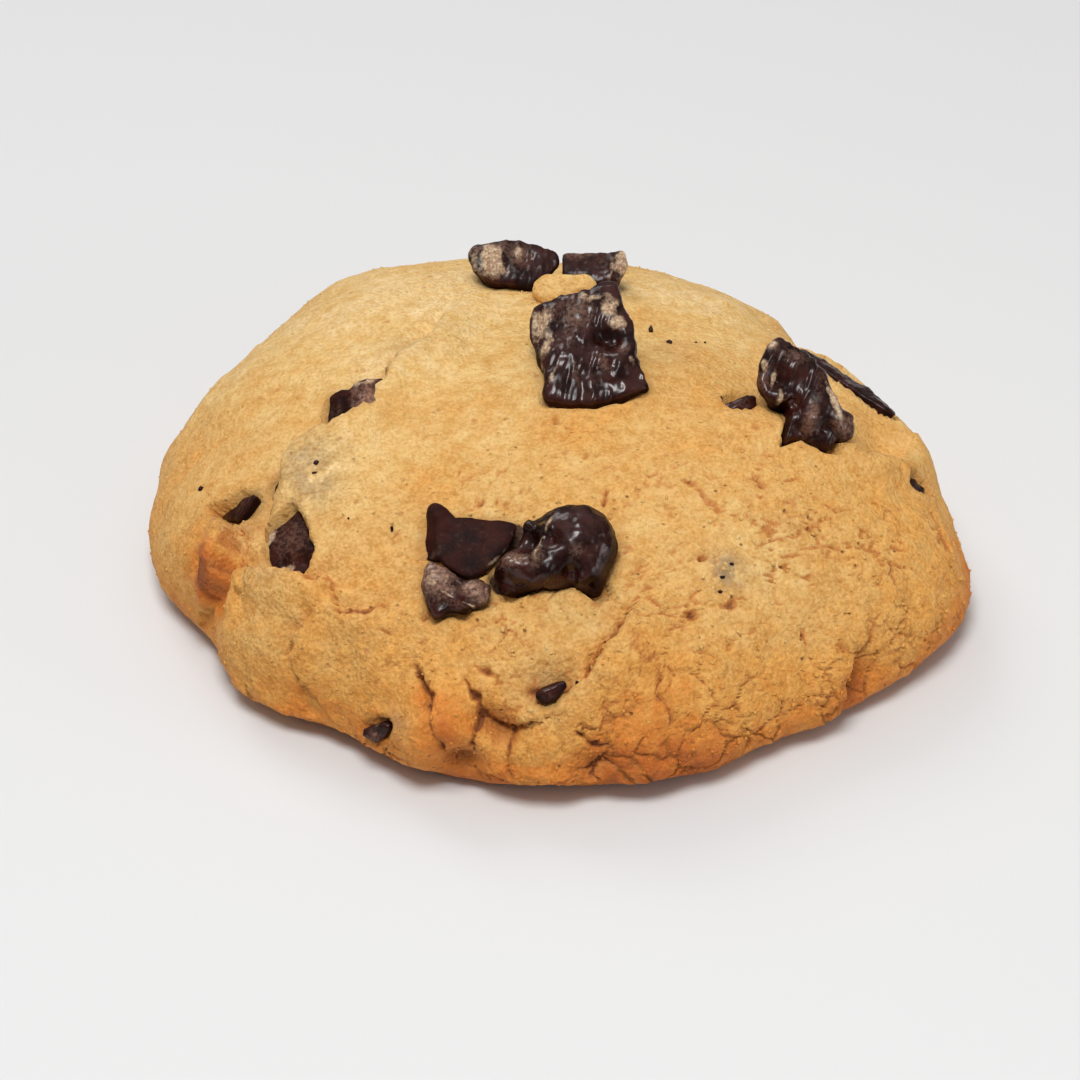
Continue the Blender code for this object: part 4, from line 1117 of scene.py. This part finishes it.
def link(tree, source, target):
    """Sets a socket from another socket or from a number."""
    if isinstance(source, (int, float, tuple)):
        target.default_value = source
    else:
        tree.links.new(source, target)


def math_node(tree, operation, first, second=0.0, clamp=False):
    node = tree.nodes.new("ShaderNodeMath")
    node.operation = operation
    node.use_clamp = clamp
    link(tree, first, node.inputs[0])
    link(tree, second, node.inputs[1])
    return node.outputs[0]


def ramp_node(tree, value, low, high, to_low=0.0, to_high=1.0):
    """A smooth step of the value, from to_low at low to to_high at high."""
    node = tree.nodes.new("ShaderNodeMapRange")
    node.interpolation_type = "SMOOTHSTEP"
    for socket, number in zip(node.inputs[1:5], (low, high, to_low, to_high)):
        link(tree, number, socket)
    link(tree, value, node.inputs[0])
    return node.outputs[0]


def noise_node(tree, place, scale, detail=2.0, roughness=0.5, distortion=0.0):
    node = tree.nodes.new("ShaderNodeTexNoise")
    link(tree, place, node.inputs["Vector"])
    link(tree, scale, node.inputs["Scale"])
    link(tree, detail, node.inputs["Detail"])
    link(tree, roughness, node.inputs["Roughness"])
    link(tree, distortion, node.inputs["Distortion"])
    return node


def voronoi_node(tree, place, scale, feature="F1"):
    node = tree.nodes.new("ShaderNodeTexVoronoi")
    node.feature = feature
    link(tree, place, node.inputs["Vector"])
    link(tree, scale, node.inputs["Scale"])
    return node


def shaken_by(tree, value, noise, strength):
    """The value plus the noise's departure from one half, times the strength."""
    off = math_node(tree, "SUBTRACT", noise, 0.5)
    return math_node(tree, "ADD", value, math_node(tree, "MULTIPLY", off, strength))


def mix_colour(tree, share, first, second, blend="MIX"):
    node = tree.nodes.new("ShaderNodeMix")
    node.data_type = "RGBA"
    node.blend_type = blend
    link(tree, share, node.inputs["Factor"])
    link(tree, first, node.inputs[6])
    link(tree, second, node.inputs[7])
    return node.outputs[2]


def field_node(tree, name):
    """One of the numbers that make_piece kept with each point."""
    node = tree.nodes.new("ShaderNodeAttribute")
    node.attribute_name = name
    return node.outputs["Fac"]


def object_place(tree):
    return tree.nodes.new("ShaderNodeTexCoord").outputs["Object"]


def new_material(name):
    """A material, its node tree and its shader."""
    made = bpy.data.materials.new(name)
    made.use_nodes = True
    return made, made.node_tree, made.node_tree.nodes["Principled BSDF"]


def set_relief(tree, shader, height, strength, distance):
    """Lets the light fall as if the surface rose by the height times the distance."""
    bump = tree.nodes.new("ShaderNodeBump")
    bump.inputs["Strength"].default_value = strength
    bump.inputs["Distance"].default_value = distance
    link(tree, height, bump.inputs["Height"])
    link(tree, bump.outputs[0], shader.inputs["Normal"])


def srgb(red, green, blue):
    """A screen colour of 0 to 255 as a linear one: ((c + 0.055) / 1.055) to the power 2.4."""
    return tuple(((c / 255 + 0.055) / 1.055) ** 2.4 for c in (red, green, blue)) + (1.0,)


# %% Grain of baked dough
# Noise cells per metre, so a grain is about 0.4 mm.
GRAIN_SCALE = 2600.0


def build_grain():
    """Fine sand of flour and sugar: two noises added, as a value round 0.5 and as a height."""
    tree, inside, outside = new_group("crumb_grain", {"Size": 1.0, "Coarse": 0.5}, ("Value", "Height"))
    place = inside.outputs["Place"]
    scale = math_node(tree, "DIVIDE", GRAIN_SCALE, inside.outputs["Size"])
    fine = noise_node(tree, place, scale, 3.0, 0.62).outputs[0]
    coarse = noise_node(tree, place, math_node(tree, "MULTIPLY", scale, 0.3), 2.0, 0.5).outputs[0]
    cells = voronoi_node(tree, place, math_node(tree, "MULTIPLY", scale, 0.75)).outputs["Distance"]
    both = shaken_by(tree, fine, coarse, inside.outputs["Coarse"])
    link(tree, both, outside.inputs["Value"])
    bumps = math_node(tree, "SUBTRACT", 1.0, math_node(tree, "MULTIPLY", cells, 1.2))
    bumps = math_node(tree, "MULTIPLY", bumps, 0.55)
    link(tree, math_node(tree, "ADD", both, bumps), outside.inputs["Height"])
    return tree


GRAIN = build_grain()


def grain_node(tree, place, size, coarse):
    node = tree.nodes.new("ShaderNodeGroup")
    node.node_tree = GRAIN
    link(tree, place, node.inputs["Place"])
    link(tree, size, node.inputs["Size"])
    link(tree, coarse, node.inputs["Coarse"])
    return node.outputs["Value"], node.outputs["Height"]


# %% [markdown]
# ## Baked dough
# The crust runs from pale gold on top to orange brown at the rim, and darker to the front, which is
# partly painted shade. Its colour follows the field of toast and front shade, shaken by three sizes of
# noise. Cracks and pits darken it by their depth as painted shade, and so do the seams with chocolate.
# Red brown freckles and dark pinholes are small Voronoi spots; the pinholes' dark is painted shade.

# %% Dough finish
CRUST_COLOURS = (
    (0.00, srgb(228, 197, 140)),
    (0.15, srgb(222, 184, 116)),
    (0.30, srgb(215, 167, 94)),
    (0.50, srgb(217, 158, 76)),
    (0.70, srgb(211, 133, 48)),
    (0.85, srgb(190, 105, 30)),
    (1.00, srgb(146, 76, 16)),
)
# Painted shade: the colours of shallow and deep cracks, pits and pinholes.
CRACK_SHADE_COLOUR = srgb(186, 116, 48)
DEEP_SHADE_COLOUR = srgb(112, 56, 18)
GRAIN_SHADE = (0.85, 0.69, 0.46, 1.0)
GRAIN_LIGHT = (1.14, 1.17, 1.26, 1.0)
FRECKLE_COLOUR = srgb(168, 92, 40)
SMUDGE_COLOUR = srgb(142, 124, 100)
# Painted shade at the seams with chocolate, with a little brown stain, and in the gaps between the front
# chunks, over smeared chocolate.
STAIN_AND_SHADE_COLOUR = srgb(96, 52, 24)
SMEAR_AND_SHADE_COLOUR = srgb(58, 27, 17)
# Noise cells per metre.
CLOUDY_SCALE = 130.0
MOTTLED_SCALE = 520.0
# Cells per metre, then the ramps of their random value and of the distance to their middle.
FRECKLES = (520.0, (0.62, 0.66), (0.10, 0.24))
PINHOLES = (840.0, (0.76, 0.78), (0.08, 0.20))
DOUGH_BUMP = 0.30 * MM
LIGHT_REACH = 1.2 * MM


def crust_colour(tree, toast_and_shade):
    """The colours of the crust by how toasted it is, and by the front's painted shade in the same field."""
    node = tree.nodes.new("ShaderNodeValToRGB")
    node.color_ramp.interpolation = "EASE"
    while len(node.color_ramp.elements) < len(CRUST_COLOURS):
        node.color_ramp.elements.new(0.5)
    for element, (position, colour) in zip(node.color_ramp.elements, CRUST_COLOURS):
        element.position = position
        element.color = colour
    link(tree, toast_and_shade, node.inputs[0])
    return node.outputs[0]


def rare_spots(tree, place, scale, chosen, size):
    """A small round spot in the middle of a few Voronoi cells, chosen by their random value."""
    cells = voronoi_node(tree, place, scale)
    few = ramp_node(tree, cells.outputs["Color"], *chosen)
    spot = ramp_node(tree, cells.outputs["Distance"], *size, 1.0, 0.0)
    return math_node(tree, "MULTIPLY", spot, few)


def pinholes(tree, place):
    """Pinholes, most of them where the crust is crackled. Their dark is painted shade."""
    more = math_node(tree, "MULTIPLY", field_node(tree, "crackle"), 0.8)
    more = math_node(tree, "ADD", more, 0.12)
    return math_node(tree, "MULTIPLY", rare_spots(tree, place, *PINHOLES), more)


def dough_layers(tree, place, middle, grain, pins):
    """Each mark on the crust as its share and its colour, from the lowest up."""
    freckles = rare_spots(tree, place, *FRECKLES)
    patchy = ramp_node(tree, middle, 0.32, 0.58)
    uneven = ramp_node(tree, grain, 0.38, 0.62, 0.3, 1.0)
    stain_and_shade = math_node(tree, "MULTIPLY", field_node(tree, "stain_and_shade"), uneven)
    fissure_shade = field_node(tree, "fissure_shade")
    smear_and_shade = shaken_by(tree, field_node(tree, "smear_and_shade"), middle, 0.5)
    return (
        (math_node(tree, "MULTIPLY", freckles, 0.4), FRECKLE_COLOUR),
        (math_node(tree, "MULTIPLY", field_node(tree, "smudge"), patchy), SMUDGE_COLOUR),
        # Painted shade in cracks and pits, darker with depth.
        (ramp_node(tree, fissure_shade, 0.06, 0.5, 0.0, 0.8), CRACK_SHADE_COLOUR),
        (ramp_node(tree, fissure_shade, 0.45, 0.95, 0.0, 0.85), DEEP_SHADE_COLOUR),
        # Painted shade in the pinholes.
        (math_node(tree, "MULTIPLY", pins, 0.9), DEEP_SHADE_COLOUR),
        # Painted shade, with a little brown stain, where the dough meets chocolate.
        (math_node(tree, "MULTIPLY", stain_and_shade, 0.5), STAIN_AND_SHADE_COLOUR),
        # Painted shade in the gaps between the front chunks, over smeared chocolate.
        (ramp_node(tree, smear_and_shade, 0.35, 0.62, 0.0, 0.95), SMEAR_AND_SHADE_COLOUR),
    )


def dough_material():
    """Toasted and front-shaded colour, its marks with their painted shade, and the grain's shade over them,
    on a crust that lets some light in.
    """
    made, tree, shader = new_material("baked_dough_crust")
    place = object_place(tree)
    grain, height = grain_node(tree, place, 1.0, 0.6)
    broad = noise_node(tree, place, CLOUDY_SCALE, 3.0, 0.55).outputs[0]
    middle = noise_node(tree, place, MOTTLED_SCALE, 3.0, 0.6).outputs[0]
    pins = pinholes(tree, place)
    toast_and_shade = field_node(tree, "toast_and_shade")
    for noise, strength in ((broad, 0.46), (middle, 0.32), (grain, 0.25)):
        toast_and_shade = shaken_by(tree, toast_and_shade, noise, strength)
    colour = crust_colour(tree, toast_and_shade)
    for share, mark in dough_layers(tree, place, middle, grain, pins):
        colour = mix_colour(tree, share, colour, mark)
    shade = mix_colour(tree, ramp_node(tree, grain, 0.25, 0.75), GRAIN_SHADE, GRAIN_LIGHT)
    tinted = mix_colour(tree, 1.0, colour, shade, "MULTIPLY")
    link(tree, tinted, shader.inputs["Base Color"])
    link(tree, ramp_node(tree, grain, 0.3, 0.8, 0.82, 0.62), shader.inputs["Roughness"])
    shader.inputs["Subsurface Weight"].default_value = 0.12
    shader.inputs["Subsurface Radius"].default_value = (1.0, 0.5, 0.2)
    shader.inputs["Subsurface Scale"].default_value = LIGHT_REACH
    fine_relief = math_node(tree, "MULTIPLY", height, 0.8)
    relief_sum = math_node(tree, "ADD", fine_relief, math_node(tree, "MULTIPLY", middle, 0.7))
    relief_sum = math_node(tree, "SUBTRACT", relief_sum, pins)
    set_relief(tree, shader, relief_sum, 0.9, DOUGH_BUMP)
    return made


crust.data.materials.append(dough_material())
print("dough finish with", len(crust.data.materials[0].node_tree.nodes), "nodes")

# %% [markdown]
# ## Chocolate
# Dark chocolate that melted in the oven sets glossy where it was free and dull where it was cut. A grey
# veil of cocoa fat blooms on the drawn-out ribs. Where the crust tore away, a film of pale dough stays.
# All three come from fields of the skin, sharpened by noise.

# %% Chocolate finish
CHOCOLATE_DARK = srgb(27, 8, 5)
CHOCOLATE_BROWN = srgb(54, 19, 12)
BLOOM_COLOUR = srgb(150, 114, 96)
FILM_COLOUR = srgb(218, 194, 160)
FILM_SHADE = srgb(150, 116, 92)
# Noise cells per metre.
CLOUDED_SCALE = 420.0
DUSTY_SCALE = 2600.0
CHOCOLATE_BUMP = 0.12 * MM


def bloom_veil(tree, fine, streak):
    """Share of the grey veil: the bloom field, dusty by fine noise and along the ribs."""
    dusty = ramp_node(tree, fine, 0.35, 0.7, 0.25, 0.95)
    dusty = math_node(tree, "ADD", dusty, math_node(tree, "MULTIPLY", streak, 0.25))
    veil = math_node(tree, "MULTIPLY", field_node(tree, "bloom"), dusty)
    return math_node(tree, "MULTIPLY", math_node(tree, "SUBTRACT", veil, 0.2), 0.8, True)


def torn_film(tree, fine, broad, streak):
    """Share of the dough's film: the film field with its edge torn by noise and by the ribs."""
    ragged = field_node(tree, "film")
    for noise, strength in ((fine, 0.6), (broad, 0.4), (streak, 0.45)):
        ragged = shaken_by(tree, ragged, noise, strength)
    return ramp_node(tree, ragged, 0.36, 0.86, 0.0, 0.92)


def set_gloss(tree, shader, fine, broad, veil, film):
    """Rough where it is matte, veiled or filmed, and a coat of shine in patches where it is free."""
    matte = math_node(tree, "MULTIPLY", field_node(tree, "matte"), 0.42)
    matte = math_node(tree, "ADD", matte, math_node(tree, "MULTIPLY", veil, 0.35))
    gloss = math_node(tree, "ADD", matte, ramp_node(tree, fine, 0.3, 0.7, 0.16, 0.34))
    rough = math_node(tree, "MAXIMUM", gloss, math_node(tree, "MULTIPLY", film, 0.68), True)
    link(tree, rough, shader.inputs["Roughness"])
    shader.inputs["Specular IOR Level"].default_value = 0.12
    covered = math_node(tree, "MAXIMUM", film, field_node(tree, "matte"))
    free = math_node(tree, "SUBTRACT", 1.0, covered, True)
    shine = math_node(tree, "MULTIPLY", free, ramp_node(tree, broad, 0.35, 0.6, 0.12, 0.58))
    link(tree, shine, shader.inputs["Coat Weight"])
    shader.inputs["Coat Roughness"].default_value = 0.2


def chocolate_material():
    """Two browns in clouds, under the veil of bloom and then the film of dough."""
    made, tree, shader = new_material("dark_chocolate_broken")
    place = object_place(tree)
    broad = noise_node(tree, place, CLOUDED_SCALE, 3.0, 0.6).outputs[0]
    fine = noise_node(tree, place, DUSTY_SCALE, 4.0, 0.65).outputs[0]
    streak = field_node(tree, "rib")
    grain, height = grain_node(tree, place, 0.8, 0.4)
    brown = mix_colour(tree, ramp_node(tree, broad, 0.35, 0.65), CHOCOLATE_DARK, CHOCOLATE_BROWN)
    veil = bloom_veil(tree, fine, streak)
    colour = mix_colour(tree, veil, brown, BLOOM_COLOUR)
    film = torn_film(tree, fine, broad, streak)
    pale = mix_colour(tree, ramp_node(tree, grain, 0.35, 0.7), FILM_SHADE, FILM_COLOUR)
    colour = mix_colour(tree, film, colour, pale)
    link(tree, colour, shader.inputs["Base Color"])
    set_gloss(tree, shader, fine, broad, veil, film)
    bumps = math_node(tree, "MULTIPLY", fine, 0.5)
    bumps = math_node(tree, "ADD", bumps, math_node(tree, "MULTIPLY", broad, 0.7))
    torn = math_node(tree, "MULTIPLY", height, film)
    bumps = math_node(tree, "ADD", bumps, math_node(tree, "MULTIPLY", torn, 0.5))
    set_relief(tree, shader, bumps, 0.5, CHOCOLATE_BUMP)
    return made


chocolate = chocolate_material()
for piece in chunks:
    piece.data.materials.append(chocolate)
for piece in knobs:
    piece.data.materials.append(crust.data.materials[0])
print("chocolate finish on", len(chunks), "chunks")

# %% [markdown]
# ## Loose crumbs and chocolate specks
# Sandy crumbs sit all over the crust. Each is a ball of twenty faces, dented and squashed by chance
# and half sunk in the crust. They are one joined mesh, worked out as a single array of all the crumbs.

# %% Crumbs
CRUMB_COUNT = 2600
CRUMB_RADII = (0.09 * MM, 0.24 * MM)
# Station of the lowest crumbs, just below the rim.
CRUMB_REACH = 1.02
GOLDEN = (1 + math.sqrt(5)) / 2


def small_ball():
    """The twelve corners and twenty faces of an icosahedron of radius 1."""
    corners = [(a, b * GOLDEN, 0) for a, b in itertools.product((-1, 1), repeat=2)]
    corners += [(0, a, b * GOLDEN) for a, b in itertools.product((-1, 1), repeat=2)]
    corners += [(b * GOLDEN, 0, a) for a, b in itertools.product((-1, 1), repeat=2)]
    corners = np.array(corners, float)
    corners /= np.linalg.norm(corners, axis=1, keepdims=True)
    apart = np.linalg.norm(corners[:, None] - corners[None], axis=2)
    touching = (apart > 0.1) & (apart < 1.1)
    faces = []
    for a, b, c in itertools.combinations(range(12), 3):
        if touching[a, b] and touching[b, c] and touching[a, c]:
            outwards = np.dot(np.cross(corners[b] - corners[a], corners[c] - corners[a]), corners[a]) > 0
            faces.append((a, b, c) if outwards else (a, c, b))
    return corners, np.array(faces)


def scattered(places, sizes, seed):
    """One array of all the balls: each ball's corners are shaken, scaled and moved to its place."""
    rng = np.random.default_rng(seed)
    ball, faces = small_ball()
    shape = ball[None] * rng.uniform(0.65, 1.35, (len(places), 12, 1))
    shape = shape * rng.uniform(0.6, 1.25, (len(places), 1, 3)) * sizes[:, None, None]
    points = (shape + places[:, None]).reshape(-1, 3)
    numbers = (np.arange(len(places))[:, None, None] * 12 + faces[None]).reshape(-1, 3)
    return points, numbers.tolist()


rng = np.random.default_rng(7)
stations = np.sqrt(rng.uniform(0.0, 1.0, CRUMB_COUNT)) * CRUMB_REACH
crumb_angles = rng.uniform(0.0, 2 * math.pi, CRUMB_COUNT)
crumb_places, crumb_fields = crust_shape(crumb_angles, stations)
crumb_sizes = rng.uniform(*CRUMB_RADII, CRUMB_COUNT) * (0.7 + 0.6 * crumb_fields["crackle"])
dry = (crumb_fields["stain_and_shade"] < 0.3) & (crumb_places[:, 2] > 2 * MM)
points, faces = scattered(crumb_places[dry], crumb_sizes[dry], 8)
crumb_toast = np.repeat(crumb_fields["toast_and_shade"][dry] - 0.06, 12)
crumbs = make_piece("loose_crumbs", points, faces, {"toast_and_shade": crumb_toast})
crumbs.data.materials.append(crust.data.materials[0])
print("crumbs:", int(dry.sum()))

# %% Specks of chocolate
# Place and radius in mm.
SPECKS = (
    ((11.2, 13.1, 22.1), 0.42), ((13.1, 10.8, 22.0), 0.34), ((17.6, 12.1, 20.9), 0.22),
    ((16.4, 11.9, 21.1), 0.2), ((-24.4, -10.2, 19.6), 0.34), ((-25.2, -12.0, 19.2), 0.3),
    ((-16.6, -21.5, 19.9), 0.3), ((-20.6, -18.8, 19.0), 0.2), ((38.6, -3.2, 14.9), 0.28),
    ((-37.8, -6.0, 13.8), 0.3), ((-25.6, -29.0, 11.9), 0.3), ((18.6, -25.0, 18.1), 0.3),
    ((17.9, -27.0, 17.5), 0.36), ((17.6, -28.4, 16.9), 0.3), ((2.6, -38.2, 13.8), 0.3),
)


def on_crust(places):
    """The points of the crust nearest to the given places in mm."""
    numbers = [np.linalg.norm(crust_points - np.array(place) * MM, axis=1).argmin() for place in places]
    return crust_points[numbers]


speck_places = on_crust([place for place, _ in SPECKS])
speck_sizes = np.array([size for _, size in SPECKS]) * MM
points, faces = scattered(speck_places, speck_sizes, 9)
speck_fields = {"bloom": np.full(len(points), 0.2), "matte": np.full(len(points), 0.6)}
specks = make_piece("chocolate_specks", points, faces, speck_fields)
specks.data.materials.append(chocolate)
print("specks:", len(SPECKS))

# %% [markdown]
# ## Floor
# The cookie lies on a plain white sheet, which is matte and a little grey, so that it takes the light
# without going blank.

# %% Floor
FLOOR_COLOUR = (0.70, 0.70, 0.70, 1.0)
FLOOR_HALF = 3.0


def floor_material():
    made, _, shader = new_material("white_sheet")
    shader.inputs["Base Color"].default_value = FLOOR_COLOUR
    shader.inputs["Roughness"].default_value = 0.85
    shader.inputs["Specular IOR Level"].default_value = 0.2
    return made


floor_mesh = bpy.data.meshes.new("floor")
floor_corners = [(x * FLOOR_HALF, y * FLOOR_HALF, 0) for x, y in ((-1, -1), (1, -1), (1, 1), (-1, 1))]
floor_mesh.from_pydata(floor_corners, [], [(0, 1, 2, 3)])
floor = new_object("floor", floor_mesh)
floor.data.materials.append(floor_material())
print("floor of", len(floor_mesh.polygons), "face")

# %% [markdown]
# ## Light
# A large soft light hangs high in front, with a weaker one behind and a low faint one on the right, so
# that the shadow is short and pale. The room is brighter overhead than at the horizon, which keeps
# the chocolate's sides dark.

# %% Lights
# Name, place in metres, size in metres and watts.
LIGHTS = (
    ("key", (-0.05, -0.27, 0.68), 0.30, 3.75),
    ("rim", (-0.34, 0.58, 0.62), 0.45, 1.95),
    ("fill", (0.52, -0.22, 0.13), 0.25, 0.5),
)
COOKIE_MIDDLE = Vector((0, 0, 0.01))
HORIZON_STRENGTH = 0.08
ZENITH_STRENGTH = 0.50


def soft_light(name, place, size, watts):
    data = bpy.data.lights.new(name, "AREA")
    data.shape = "DISK"
    data.size = size
    data.energy = watts
    light = new_object(name, data)
    light.location = place
    light.rotation_euler = (Vector(place) - COOKIE_MIDDLE).to_track_quat("Z", "Y").to_euler()


def room_light():
    """White light from all round, from the horizon's strength up to the zenith's."""
    world = bpy.data.worlds.new("room")
    bpy.context.scene.world = world
    world.use_nodes = True
    tree = world.node_tree
    background = tree.nodes["Background"]
    background.inputs["Color"].default_value = (1, 1, 1, 1)
    split = tree.nodes.new("ShaderNodeSeparateXYZ")
    link(tree, tree.nodes.new("ShaderNodeTexCoord").outputs["Generated"], split.inputs[0])
    strength = ramp_node(tree, split.outputs["Z"], 0.0, 1.0, HORIZON_STRENGTH, ZENITH_STRENGTH)
    link(tree, strength, background.inputs["Strength"])


for light in LIGHTS:
    soft_light(*light)
room_light()
bpy.context.scene.view_settings.view_transform = "Standard"
print("lights:", [name for name, *_ in LIGHTS])
